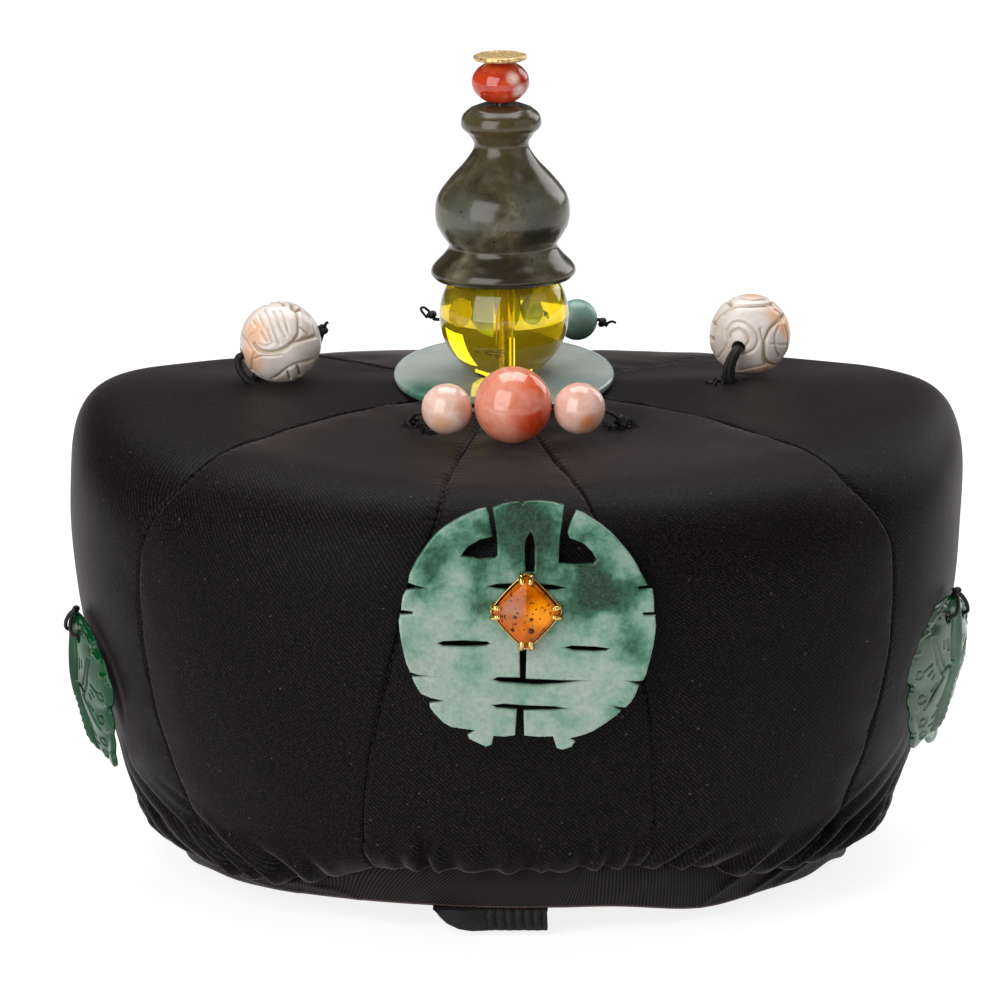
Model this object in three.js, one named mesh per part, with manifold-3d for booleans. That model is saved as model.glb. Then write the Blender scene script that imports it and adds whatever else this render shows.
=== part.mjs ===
// Jewelled satin toque hat: eight satin gores gathered on a ribbed headband, with jade, amber and coral.
// Millimetres, +Z up. The front faces -Y. The origin is the middle of the hat's foot on the surface.
import * as THREE from "three";
import { mergeVertices } from "three/addons/utils/BufferGeometryUtils.js";
import Module from "manifold-3d";

const wasm = await Module();
wasm.setup();

// Driving sizes of the crown and headband
const seatGap = 0.3; // between pieces that touch
const headAxisY = 7.0; // the head's axis stands this far behind the origin
const apexZ = 131.0; // top of the crown
const clothWall = 2.2; // satin on its stiffened foundation
const apexOpeningR = 6.5; // where the gores' tips end under the disc
const bandHalfX = 92.0; // headband, outer half sizes
const bandHalfY = 98.0;
const bandWall = 2.1;
const bandSeat = 1.5; // how far the crown's lower edge reaches in over the band
const archRise = 7.8; // the band's lower edge lifts at the front over the ribbon end
const archFullAz = 10; // the lift is whole up to this azimuth, and gone at the next one
const archEndAz = 100;
const gatherDepth = 1.5; // pleats where the gores are drawn into the band

// Crown profile at each azimuth from the front, in degrees: fall of the top per mm, radius where the
// shoulder starts, squareness of the shoulder, widest point, and where the cloth turns in to the band
const crownRows = [
  { az: 0, slope: 0.09, flatR: 88, power: 2.6, bulgeR: 113.0, bulgeZ: 92, lowR: 105.0, lowZ: 27, hemZ: 18.6 },
  { az: 30, slope: 0.075, flatR: 88, power: 2.6, bulgeR: 118.0, bulgeZ: 93, lowR: 107.5, lowZ: 25.5, hemZ: 16.2 },
  { az: 60, slope: 0.035, flatR: 90, power: 2.7, bulgeR: 124.5, bulgeZ: 98, lowR: 111.5, lowZ: 22, hemZ: 12.5 },
  { az: 90, slope: 0.0, flatR: 98, power: 3.4, bulgeR: 122.0, bulgeZ: 105, lowR: 108.5, lowZ: 22, hemZ: 12.0 },
  { az: 120, slope: 0.03, flatR: 90, power: 2.8, bulgeR: 123.5, bulgeZ: 98, lowR: 110.5, lowZ: 22, hemZ: 12.0 },
  { az: 150, slope: 0.055, flatR: 74, power: 2.4, bulgeR: 116.0, bulgeZ: 90, lowR: 107.0, lowZ: 23, hemZ: 12.0 },
  { az: 180, slope: 0.06, flatR: 66, power: 2.3, bulgeR: 110.0, bulgeZ: 86, lowR: 104.0, lowZ: 23, hemZ: 12.0 },
];
const crownRowStep = 30;

// Azimuth of each seam along the profile: t is 0 at the apex, 1 at the shoulder's start, 2 at the
// widest point, 3 at the turn-in and 4 at the hem
const seamRows = [
  { t: 0.0, frontLeft: 15.0, frontRight: 6.0, arch: 57.0, backSide: 128 },
  { t: 0.5, frontLeft: 14.0, frontRight: 6.5, arch: 60.5, backSide: 134 },
  { t: 1.0, frontLeft: 12.0, frontRight: 9.5, arch: 55.0, backSide: 139 },
  { t: 1.5, frontLeft: 11.5, frontRight: 11.5, arch: 51.5, backSide: 136 },
  { t: 2.0, frontLeft: 15.0, frontRight: 15.0, arch: 55.0, backSide: 131 },
  { t: 2.5, frontLeft: 19.5, frontRight: 18.3, arch: 55.0, backSide: 128 },
  { t: 3.0, frontLeft: 22.5, frontRight: 20.0, arch: 52.0, backSide: 130 },
  { t: 3.5, frontLeft: 22.5, frontRight: 19.5, arch: 46.5, backSide: 134 },
  { t: 4.0, frontLeft: 22.0, frontRight: 19.0, arch: 42.0, backSide: 138 },
];
const backCentreAz = 165;

// The gores in order round the hat, each between two seams, and the columns of faces across each
const gores = [
  { name: "crown_front", from: "-frontLeft", to: "+frontRight", columns: 6 },
  { name: "crown_front_right", from: "+frontRight", to: "+arch", columns: 6 },
  { name: "crown_side_right", from: "+arch", to: "+backSide", columns: 9 },
  { name: "crown_back_right", from: "+backSide", to: "+backCentre", columns: 5 },
  { name: "crown_back", from: "+backCentre", to: "-backCentre", columns: 5 },
  { name: "crown_back_left", from: "-backCentre", to: "-backSide", columns: 5 },
  { name: "crown_side_left", from: "-backSide", to: "-arch", columns: 9 },
  { name: "crown_front_left", from: "-arch", to: "-frontLeft", columns: 6 },
];
const goreSteps = [0.4, 0.75, 1.0, 1.2, 1.4, 1.6, 1.8, 2.0, 2.3, 2.65, 3.0, 3.35, 3.7, 4.0];

// Ornaments. Plan positions are measured from the head's axis, x to the right as seen from the front.
const disc = { x: -3.3, y: 0, r: 30.25, holeR: 7.6, thick: 2.2, bevel: 0.5, tilt: 7.4 };
const ball = { r: 17.8, holeR: 1.9 };
const pin = { r: 1.2, footR: 8.4, footThick: 1.6 };
const stack = { lean: -0.85, holeR: 1.7 };
// Jade finial, heights above the ball's centre
const finialRows = [
  { z: 10.6, r: 18.9 },
  { z: 12.0, r: 19.9 },
  { z: 14.0, r: 19.2 },
  { z: 17.2, r: 16.2 },
  { z: 19.7, r: 14.9 },
  { z: 22.2, r: 16.4 },
  { z: 25.6, r: 18.1 },
  { z: 29.3, r: 18.5 },
  { z: 33.6, r: 17.6 },
  { z: 38.5, r: 14.0 },
  { z: 43.0, r: 9.9 },
  { z: 47.2, r: 7.5 },
  { z: 50.2, r: 8.8 },
  { z: 52.2, r: 10.7 },
  { z: 53.8, r: 11.05 },
  { z: 55.8, r: 10.4 },
  { z: 57.6, r: 8.4 },
  { z: 58.6, r: 5.6 },
];
const capBead = { r: 7.95, halfHeight: 6.0 };
const giltCap = { r: 7.35, thick: 1.4, edge: 0.35 };

const threadR = 0.5;
const beadHoleR = 1.05;
const coralRow = {
  y: -55.8,
  beads: [
    { name: "coral_bead_left", x: -18.7, r: 6.9, drop: 1.1 },
    { name: "coral_bead_centre", x: -0.9, r: 10.5, drop: 0 },
    { name: "coral_bead_right", x: 17.0, r: 7.0, drop: 0.9 },
  ],
  ends: [
    { x: -27.6, y: -41 },
    { x: 27.4, y: -42 },
  ],
};
const tealRow = {
  y: 54,
  beads: [
    { name: "teal_bead_left", x: -15.2, r: 5.8 },
    { name: "teal_bead_centre", x: 1.0, r: 10.0 },
    { name: "teal_bead_right", x: 17.2, r: 5.8 },
  ],
  knotR: 1.5,
};
// Each carved bead's hole runs along axis; its cord is sewn down at foot and knotted at the other end
const carvedBead = { r: 11.25, holeR: 1.9, cordR: 1.35, knotR: 2.3 };
const carvedPlaces = [
  { name: "left", x: -64.9, y: 1.0, axis: [-0.93, -0.24, -0.28], foot: [-75.5, -5.5] },
  { name: "right", x: 64.6, y: 12.5, axis: [-0.3, -0.94, -0.14], foot: [59.6, -3.5] },
];

// Pierced roundel of jade, in its own plane: u to the right, v up, from its centre
const roundel = { x: 2.9, z: 89.6, lean: 5.5, halfU: 33.9, halfV: 32.4, thick: 3.6, flatV: -30.6 };
const roundelFeet = [
  { u0: -15.8, u1: -9.0, tipU: -10.2, v: -34.0 },
  { u0: 6.0, u1: 13.4, tipU: 8.4, v: -34.4 },
];
// Cut slots from one point to another, with the width at each end; a pointed slot tapers to both tips
const roundelSlots = [
  { u0: -10.4, v0: 34.0, u1: -9.0, v1: 22.0, w0: 2.3, w1: 1.9 },
  { u0: 11.2, v0: 34.0, u1: 10.0, v1: 22.0, w0: 3.6, w1: 1.9 },
  { u0: -1.8, v0: 34.0, u1: -1.8, v1: 30.9, w0: 1.2, w1: 0.8 },
  { u0: 0.6, v0: 23.6, u1: -0.2, v1: 8.0, w0: 1.1, w1: 2.0 },
  { u0: -1.2, v0: -4.0, u1: -1.6, v1: -15.0, w0: 1.5, w1: 1.4 },
  { u0: -2.0, v0: -22.6, u1: -2.3, v1: -33.0, w0: 1.6, w1: 2.6 },
  { u0: -36.0, v0: 9.4, u1: -28.6, v1: 9.2, w0: 1.5, w1: 0.5 },
  { u0: -37.0, v0: 2.5, u1: -30.2, v1: 2.5, w0: 1.5, w1: 0.5 },
  { u0: -35.0, v0: -13.6, u1: -27.4, v1: -15.0, w0: 1.5, w1: 0.5 },
  { u0: -31.0, v0: -20.0, u1: -24.0, v1: -21.8, w0: 1.5, w1: 0.5 },
  { u0: 36.0, v0: 9.6, u1: 28.6, v1: 9.0, w0: 1.5, w1: 0.5 },
  { u0: 37.0, v0: 2.6, u1: 30.4, v1: 2.4, w0: 1.5, w1: 0.5 },
  { u0: 35.0, v0: -14.8, u1: 26.6, v1: -16.4, w0: 1.5, w1: 0.5 },
  { u0: 31.0, v0: -21.4, u1: 23.0, v1: -23.0, w0: 1.5, w1: 0.5 },
  { u0: -10.6, v0: 9.7, u1: 7.2, v1: 8.9, w0: 1.3, w1: 1.3, pointed: true },
  { u0: -23.9, v0: -5.6, u1: -9.9, v1: -5.9, w0: 1.3, w1: 1.3, pointed: true },
  { u0: 9.9, v0: -6.9, u1: 21.5, v1: -7.2, w0: 1.3, w1: 1.3, pointed: true },
  { u0: -9.1, v0: -15.2, u1: 9.1, v1: -16.0, w0: 1.3, w1: 1.3, pointed: true },
  { u0: -9.7, v0: -22.4, u1: 7.0, v1: -23.1, w0: 1.3, w1: 1.3, pointed: true },
];
const roundelWindows = [
  { au: -9.1, av: 23.2, bu: -8.1, bv: 17.1, cu: -18.1, cv: 17.2 },
  { au: 10.1, av: 23.5, bu: 18.0, bv: 15.7, cu: 8.3, cv: 15.2 },
];

// Sugarloaf amber set as a diamond: share of the girdle's half diagonals at each height
const stone = { u: -0.4, v: 2.9, halfU: 8.35, halfV: 9.1, cut: 0.16 };
const stoneRows = [
  { z: 0.0, size: 0.9 },
  { z: 0.7, size: 1.0 },
  { z: 2.3, size: 1.0 },
  { z: 3.3, size: 0.9 },
  { z: 4.6, size: 0.62 },
  { z: 5.4, size: 0.2 },
];
const setting = { back: 0.9, rim: 1.0, margin: 0.55, clawR: 0.55, clawSplit: 1.7, clawReach: 1.5 };

// Carved jade butterflies on the sides: half width at each height, from the tail to the head
const butterfly = { thick: 1.6, dome: 2.4, ridge: 1.1, ridgeHalf: 2.2, eyeR: 1.15, eyeU: 5.6, eyeV: 10.5 };
const butterflyRows = [
  { v: -21.5, half: 1.5 },
  { v: -19.0, half: 7.5 },
  { v: -15.5, half: 11.9 },
  { v: -11.5, half: 13.7 },
  { v: -7.5, half: 15.9 },
  { v: -3.5, half: 15.3 },
  { v: -1.0, half: 18.1 },
  { v: 3.5, half: 20.4 },
  { v: 8.0, half: 19.5 },
  { v: 12.0, half: 17.6 },
  { v: 15.5, half: 13.3 },
  { v: 18.5, half: 8.2 },
  { v: 20.6, half: 2.0 },
];
const butterflyPlaces = [
  { name: "left", az: -73, z: 55.5, turn: 3 },
  { name: "right", az: 71.5, z: 59.5, turn: -4 },
];

const ribbon = { x0: -22.6, x1: 9.6, foldX: -8.2, frontY: -97.4, depth: 15, low: 0.0, pitch: 2.4, rib: 0.7 };

// Curves and surfaces
const radians = (degrees) => (degrees * Math.PI) / 180;

function catmull(a, b, c, d, f) {
  return 0.5 * (2 * b + (c - a) * f + (2 * a - 5 * b + 4 * c - d) * f * f + (3 * b - a - 3 * c + d) * f ** 3);
}

// A column of the crown's table at any azimuth, the same on both sides
function crownValue(column, az) {
  const a = Math.abs(((((az + 180) % 360) + 360) % 360) - 180);
  const last = crownRows.length - 1;
  const i = Math.min(Math.floor(a / crownRowStep), last - 1);
  const at = (k) => crownRows[k < 0 ? -k : k > last ? 2 * last - k : k][column];
  return catmull(at(i - 1), at(i), at(i + 1), at(i + 2), a / crownRowStep - i);
}

function ellipseR(az, halfX, halfY) {
  return 1 / Math.hypot(Math.sin(radians(az)) / halfX, Math.cos(radians(az)) / halfY);
}

// Point of the crown's outer surface, from the head's axis
function crownPoint(az, t) {
  const slope = crownValue("slope", az);
  const flatR = crownValue("flatR", az);
  const bulgeR = crownValue("bulgeR", az);
  const bulgeZ = crownValue("bulgeZ", az);
  const lowR = crownValue("lowR", az);
  const lowZ = crownValue("lowZ", az);
  let r, z;
  if (t <= 1) {
    r = flatR * t;
    z = apexZ - slope * r;
  } else if (t <= 2) {
    const w = ((t - 1) * Math.PI) / 2;
    const e = 2 / crownValue("power", az);
    r = flatR + (bulgeR - flatR) * Math.sin(w) ** e;
    z = apexZ - slope * r - (apexZ - slope * bulgeR - bulgeZ) * (1 - Math.max(Math.cos(w), 0) ** e);
  } else if (t <= 3) {
    const u = t - 2;
    r = bulgeR - (bulgeR - lowR) * u * u;
    z = bulgeZ - (bulgeZ - lowZ) * u;
  } else {
    const w = ((t - 3) * Math.PI) / 2;
    const hemR = ellipseR(az, bandHalfX, bandHalfY) - bandSeat;
    r = hemR + (lowR - hemR) * Math.cos(w);
    z = lowZ - (lowZ - crownValue("hemZ", az)) * Math.sin(w);
  }
  return new THREE.Vector3(r * Math.sin(radians(az)), -r * Math.cos(radians(az)), z);
}

function crownNormal(az, t) {
  const da = 0.2;
  const dt = 0.01;
  const t0 = Math.max(t - dt, 0.02);
  const t1 = Math.min(t + dt, 4);
  const along = crownPoint(az, t1).sub(crownPoint(az, t0));
  const round = crownPoint(az + da, t).sub(crownPoint(az - da, t));
  return along.cross(round).normalize();
}

function seamAz(seam, t) {
  const side = seam[0] === "-" ? -1 : 1;
  const column = seam.slice(1);
  if (column === "backCentre") return side * backCentreAz;
  const step = seamRows[1].t;
  const last = seamRows.length - 1;
  const i = Math.min(Math.floor(t / step), last - 1);
  const at = (k) => seamRows[Math.min(Math.max(k, 0), last)][column];
  return side * catmull(at(i - 1), at(i), at(i + 1), at(i + 2), t / step - i);
}

// Outer points of the crown for seating the ornaments
const crownSamples = [];
for (let az = -180; az < 180; az += 2) {
  for (let t = 0.04; t <= 4; t += 0.04) crownSamples.push(crownPoint(az, t));
}

// How far the crown stands out along a normal, inside a patch of a plane
function crownReach(origin, normal, axisU, axisV, halfU, halfV) {
  let reach = -Infinity;
  for (const p of crownSamples) {
    const d = p.clone().sub(origin);
    const inU = Math.abs(d.dot(axisU)) / halfU;
    const inV = Math.abs(d.dot(axisV)) / halfV;
    const out = d.dot(normal);
    if (inU * inU + inV * inV <= 1 && out > -40) reach = Math.max(reach, out);
  }
  return reach;
}

// Height of a ball's centre when it rests on the crown
function restHeight(x, y, r) {
  const reach = r + seatGap;
  let z = 0;
  for (const p of crownSamples) {
    const d2 = (p.x - x) ** 2 + (p.y - y) ** 2;
    if (p.z > 60 && d2 < reach * reach) z = Math.max(z, p.z + Math.sqrt(reach * reach - d2));
  }
  return z;
}

// Height of the crown's top at a plan position
function crownTop(x, y) {
  const az = (Math.atan2(x, -y) * 180) / Math.PI;
  const r = Math.hypot(x, y);
  let low = 0;
  let high = 2;
  for (let i = 0; i < 30; i++) {
    const mid = (low + high) / 2;
    const p = crownPoint(az, mid);
    if (Math.hypot(p.x, p.y) < r) low = mid;
    else high = mid;
  }
  return crownPoint(az, low).z;
}

// Mesh helpers
function geometryOf(points, faces) {
  const position = new Float32Array(points.flatMap((p) => [p.x, p.y, p.z]));
  const g = new THREE.BufferGeometry();
  g.setAttribute("position", new THREE.BufferAttribute(position, 3));
  g.setIndex(faces);
  return g;
}

function quad(faces, a, b, c, d) {
  faces.push(a, b, c, a, c, d);
}

// A wall between two grids of points with the same rows and columns
function wallSolid(outer, inner) {
  const rows = outer.length;
  const cols = outer[0].length;
  const points = [...outer.flat(), ...inner.flat()];
  const o = (i, j) => i * cols + j;
  const n = (i, j) => rows * cols + i * cols + j;
  const faces = [];
  for (let i = 0; i < rows - 1; i++) {
    for (let j = 0; j < cols - 1; j++) {
      quad(faces, o(i, j), o(i + 1, j), o(i + 1, j + 1), o(i, j + 1));
      quad(faces, n(i, j), n(i, j + 1), n(i + 1, j + 1), n(i + 1, j));
    }
    quad(faces, o(i, 0), n(i, 0), n(i + 1, 0), o(i + 1, 0));
    quad(faces, o(i, cols - 1), o(i + 1, cols - 1), n(i + 1, cols - 1), n(i, cols - 1));
  }
  for (let j = 0; j < cols - 1; j++) {
    quad(faces, o(0, j), o(0, j + 1), n(0, j + 1), n(0, j));
    quad(faces, o(rows - 1, j), n(rows - 1, j), n(rows - 1, j + 1), o(rows - 1, j + 1));
  }
  return geometryOf(points, faces);
}

// Rings of points from the bottom up, each counter-clockwise from above, closed by flat ends
function ringSolid(rings) {
  const count = rings[0].length;
  const faces = [];
  for (let i = 0; i < rings.length - 1; i++) {
    for (let j = 0; j < count; j++) {
      const k = (j + 1) % count;
      quad(faces, i * count + j, i * count + k, (i + 1) * count + k, (i + 1) * count + j);
    }
  }
  const top = (rings.length - 1) * count;
  for (let j = 1; j < count - 1; j++) {
    faces.push(0, j + 1, j);
    faces.push(top, top + j, top + j + 1);
  }
  return geometryOf(rings.flat(), faces);
}

// A profile of radius and height turned round the Z axis
function turned(profile, sides) {
  const lathe = new THREE.LatheGeometry(profile.map((p) => new THREE.Vector2(p.r, p.z)), sides);
  return lathe.rotateX(Math.PI / 2);
}

// A round cord through a few points
function tube(points, radius, sides, steps) {
  const ring = new THREE.Shape();
  for (let i = 0; i < sides; i++) {
    const a = (2 * Math.PI * i) / sides;
    const x = radius * Math.cos(a);
    const y = radius * Math.sin(a);
    if (i === 0) ring.moveTo(x, y);
    else ring.lineTo(x, y);
  }
  const path = new THREE.CatmullRomCurve3(points, false, "centripetal");
  return new THREE.ExtrudeGeometry(ring, { steps, curveSegments: 1, extrudePath: path });
}

function plate(outline, depth) {
  const shape = new THREE.Shape(outline.map(([u, v]) => new THREE.Vector2(u, v)));
  return new THREE.ExtrudeGeometry(shape, { depth, bevelEnabled: false, curveSegments: 1 });
}

function solidOf(geometry) {
  const g = geometry.clone();
  g.deleteAttribute("normal");
  g.deleteAttribute("uv");
  const merged = mergeVertices(g, 1e-4);
  return new wasm.Manifold(
    new wasm.Mesh({
      numProp: 3,
      vertProperties: merged.attributes.position.array,
      triVerts: new Uint32Array(merged.index.array),
    }),
  );
}

function geometryFrom(solid) {
  const m = solid.getMesh();
  const g = new THREE.BufferGeometry();
  g.setAttribute("position", new THREE.BufferAttribute(new Float32Array(m.vertProperties), 3));
  g.setIndex(new THREE.BufferAttribute(m.triVerts, 1));
  return g;
}

function join(geometries) {
  return geometryFrom(geometries.map(solidOf).reduce((a, b) => a.add(b)));
}

function cut(geometry, tools) {
  return geometryFrom(tools.map(solidOf).reduce((a, b) => a.subtract(b), solidOf(geometry)));
}

// Materials, by what the piece is made of
const finishes = {
  satin: { color: "#171416", roughness: 0.55, metalness: 0 },
  ribbon: { color: "#1b191a", roughness: 0.7, metalness: 0 },
  thread: { color: "#111011", roughness: 0.8, metalness: 0 },
  paleJade: { color: "#a9bcb4", roughness: 0.15, metalness: 0 },
  amberClear: { color: "#c9b51b", roughness: 0.05, metalness: 0 },
  darkJade: { color: "#5c6157", roughness: 0.15, metalness: 0 },
  coralRed: { color: "#d9502c", roughness: 0.2, metalness: 0 },
  coralPink: { color: "#e0998a", roughness: 0.2, metalness: 0 },
  coralPale: { color: "#e6c3b4", roughness: 0.25, metalness: 0 },
  carvedPale: { color: "#ecdccf", roughness: 0.35, metalness: 0 },
  teal: { color: "#6f978c", roughness: 0.3, metalness: 0 },
  mottledJade: { color: "#7fa594", roughness: 0.15, metalness: 0 },
  amberStone: { color: "#d9740c", roughness: 0.08, metalness: 0 },
  gold: { color: "#d9a94a", roughness: 0.2, metalness: 1 },
  giltLeaf: { color: "#a98a4c", roughness: 0.45, metalness: 0.8 },
  greenJade: { color: "#14693c", roughness: 0.2, metalness: 0 },
  steel: { color: "#8a8a8c", roughness: 0.35, metalness: 1 },
};

function piece(name, geometry, finish, parent) {
  const mesh = new THREE.Mesh(geometry, new THREE.MeshStandardMaterial(finishes[finish]));
  mesh.name = name;
  parent.add(mesh);
  return mesh;
}

// A gore of satin between two seams, pleated where it is drawn in to the band
function goreGeometry(gore) {
  const outer = [];
  const inner = [];
  const firstT = apexOpeningR / crownRows[0].flatR;
  for (const t of [firstT, ...goreSteps]) {
    let a0 = seamAz(gore.from, t);
    let a1 = seamAz(gore.to, t);
    if (a1 < a0) a1 += 360;
    const gapAz = (seatGap / 2 / Math.hypot(crownPoint(a0, t).x, crownPoint(a0, t).y)) * (180 / Math.PI);
    a0 += gapAz;
    a1 -= gapAz;
    const pleat = gatherDepth * THREE.MathUtils.smoothstep(t, 2.7, 3.7);
    const outerRow = [];
    const innerRow = [];
    for (let j = 0; j <= gore.columns; j++) {
      const az = a0 + ((a1 - a0) * j) / gore.columns;
      const point = crownPoint(az, t);
      const pulled = j % 2 === 1 && j < gore.columns ? pleat * (t < 4 ? 1 : 0) : 0;
      const radial = new THREE.Vector3(point.x, point.y, 0).normalize();
      point.addScaledVector(radial, -pulled);
      outerRow.push(point);
      innerRow.push(point.clone().addScaledVector(crownNormal(az, t), -clothWall));
    }
    outer.push(outerRow);
    inner.push(innerRow);
  }
  return wallSolid(outer, inner);
}

// Headband: a ribbed ribbon on edge, its lower edge lifted at the front
function bandLower(az) {
  const a = Math.abs(az > 180 ? az - 360 : az);
  return archRise * (1 - THREE.MathUtils.smoothstep(a, archFullAz, archEndAz));
}

function headbandGeometry() {
  const segments = 40;
  const outer = [];
  const inner = [];
  for (const share of [0, 0.5, 1]) {
    const outerRow = [];
    const innerRow = [];
    for (let i = 0; i <= segments; i++) {
      const az = (360 * i) / segments;
      const low = bandLower(az);
      const z = low + (crownValue("hemZ", az) - seatGap - low) * share;
      const belly = 0.5 * Math.sin(Math.PI * share);
      const s = Math.sin(radians(az));
      const c = -Math.cos(radians(az));
      const r = ellipseR(az, bandHalfX, bandHalfY);
      outerRow.push(new THREE.Vector3((r + belly) * s, (r + belly) * c, z));
      innerRow.push(new THREE.Vector3((r - bandWall) * s, (r - bandWall) * c, z));
    }
    outer.push(outerRow);
    inner.push(innerRow);
  }
  return bandRing(outer, inner, segments);
}

// A closed ring wall from open rows whose last column repeats the first
function bandRing(outer, inner, segments) {
  const rows = outer.length;
  const loop = [];
  for (let i = 0; i < rows; i++) loop.push(outer[i]);
  for (let i = rows - 1; i >= 0; i--) loop.push(inner[i]);
  const faces = [];
  const points = loop.flatMap((row) => row.slice(0, segments));
  for (let i = 0; i < loop.length; i++) {
    const k = (i + 1) % loop.length;
    for (let j = 0; j < segments; j++) {
      const m = (j + 1) % segments;
      quad(faces, i * segments + j, i * segments + m, k * segments + m, k * segments + j);
    }
  }
  return geometryOf(points, faces);
}

// The ribbon's end tucked under the front: a plain loop, then a ribbed tail
function ribbonLoopGeometry() {
  const top = archRise - seatGap;
  const x1 = ribbon.foldX - seatGap;
  const middle = (ribbon.x0 + x1) / 2;
  const outline = [
    [ribbon.x0, top],
    [ribbon.x0 + 1.2, top * 0.55],
    [ribbon.x0 + 4.2, top * 0.18],
    [middle, ribbon.low],
    [x1, ribbon.low],
    [x1, top],
  ];
  return plate(outline, ribbon.depth).rotateX(Math.PI / 2).translate(0, ribbon.frontY + ribbon.depth, 0);
}

function ribbonTailGeometry() {
  const outline = [];
  const count = Math.round((ribbon.x1 - ribbon.foldX) / ribbon.pitch);
  for (let i = 0; i <= count; i++) {
    const x = ribbon.foldX + (i * (ribbon.x1 - ribbon.foldX)) / count;
    outline.push([x, ribbon.frontY]);
    if (i < count) outline.push([x + ribbon.pitch / 2, ribbon.frontY - ribbon.rib]);
  }
  outline.push([ribbon.x1, ribbon.frontY + ribbon.depth], [ribbon.foldX, ribbon.frontY + ribbon.depth]);
  return plate(outline, archRise - seatGap - ribbon.low).translate(0, 0, ribbon.low);
}

// A bead drilled along Z
function beadGeometry(r, halfHeight, holeR, sides, rows) {
  const start = Math.asin(holeR / r);
  const profile = [];
  for (let i = 0; i <= rows; i++) {
    const a = start + ((Math.PI - 2 * start) * i) / rows;
    profile.push({ r: r * Math.sin(a), z: -halfHeight * Math.cos(a) });
  }
  profile.push({ r: holeR, z: profile[0].z });
  profile[0].r = holeR;
  profile[rows].r = holeR;
  return turned(profile, sides);
}

function discGeometry() {
  const { r, holeR, thick, bevel } = disc;
  const h = thick / 2;
  const profile = [
    { r: holeR, z: -h },
    { r: r - bevel, z: -h },
    { r, z: -h + bevel },
    { r, z: h - bevel },
    { r: r - 2 * bevel, z: h },
    { r: holeR, z: h },
    { r: holeR, z: -h },
  ];
  return turned(profile, 36);
}

function finialGeometry() {
  const clear = ball.r + seatGap;
  const profile = finialRows.map((row) => ({ r: row.r, z: row.z }));
  const topZ = finialRows[finialRows.length - 1].z;
  profile.push({ r: stack.holeR, z: topZ });
  const steps = 5;
  const rimA = Math.acos(finialRows[0].z / clear);
  const holeA = Math.asin(stack.holeR / clear);
  for (let i = 0; i <= steps; i++) {
    const a = holeA + ((rimA - holeA) * i) / steps;
    profile.push({ r: clear * Math.sin(a), z: clear * Math.cos(a) });
  }
  profile.push({ ...profile[0] });
  return turned(profile, 18);
}

function pinGeometry(footZ, topZ) {
  const bottom = footZ - pin.footThick;
  const profile = [
    { r: 0, z: bottom },
    { r: pin.footR, z: bottom },
    { r: pin.footR, z: footZ },
    { r: pin.r, z: footZ },
    { r: pin.r, z: topZ },
    { r: 0, z: topZ },
  ];
  return turned(profile, 12);
}

function giltCapGeometry() {
  const { r, thick, edge } = giltCap;
  const profile = [
    { r: 0, z: 0 },
    { r: r - edge, z: 0 },
    { r, z: edge },
    { r: r - 0.1, z: thick - edge },
    { r: r - edge, z: thick },
    { r: 0, z: thick },
  ];
  return turned(profile, 20);
}

function addTopStack(hat) {
  const tilt = radians(disc.tilt);
  const up = new THREE.Vector3(0, -Math.sin(tilt), Math.cos(tilt));
  const axisU = new THREE.Vector3(1, 0, 0);
  const axisV = new THREE.Vector3(0, Math.cos(tilt), Math.sin(tilt));
  const foot = new THREE.Vector3(disc.x, disc.y, apexZ);
  const lift = crownReach(foot, up, axisU, axisV, disc.r, disc.r) + seatGap + disc.thick / 2;
  const discCentre = foot.clone().addScaledVector(up, lift);
  const discMesh = piece("jade_disc", discGeometry(), "paleJade", hat);
  discMesh.position.copy(discCentre);
  discMesh.rotation.x = tilt;

  const rise = disc.thick / 2 + Math.sqrt((ball.r + seatGap) ** 2 - disc.holeR ** 2);
  const group = new THREE.Group();
  group.position.copy(discCentre.clone().addScaledVector(up, rise));
  group.rotation.y = radians(stack.lean);
  hat.add(group);
  piece("amber_ball", beadGeometry(ball.r, ball.r, ball.holeR, 18, 11), "amberClear", group);
  piece("jade_finial", finialGeometry(), "darkJade", group);
  const finialTop = finialRows[finialRows.length - 1].z;
  const beadFlat = capBead.halfHeight * Math.cos(Math.asin(stack.holeR / capBead.r));
  const beadZ = finialTop + seatGap + beadFlat;
  const bead = beadGeometry(capBead.r, capBead.halfHeight, stack.holeR, 16, 9);
  piece("coral_cap_bead", bead, "coralRed", group).position.z = beadZ;
  const capZ = beadZ + beadFlat + seatGap;
  piece("gilt_cap", giltCapGeometry(), "giltLeaf", group).position.z = capZ;
  const underCrown = apexZ - crownRows[0].slope * pin.footR - clothWall - 1.5 * seatGap;
  piece("finial_pin", pinGeometry(underCrown - group.position.z, capZ - seatGap), "steel", group);
}

// A drilled bead of a row, its hole along the thread
function addRowBead(bead, centre, along, finish, hat) {
  const sides = bead.r > 8 ? 16 : 14;
  const mesh = piece(bead.name, beadGeometry(bead.r, bead.r, beadHoleR, sides, 9), finish, hat);
  mesh.position.copy(centre);
  mesh.quaternion.setFromUnitVectors(new THREE.Vector3(0, 0, 1), along);
}

function ballAt(x, y, z, r) {
  return new THREE.SphereGeometry(r, 8, 6).translate(x, y, z);
}

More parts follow.
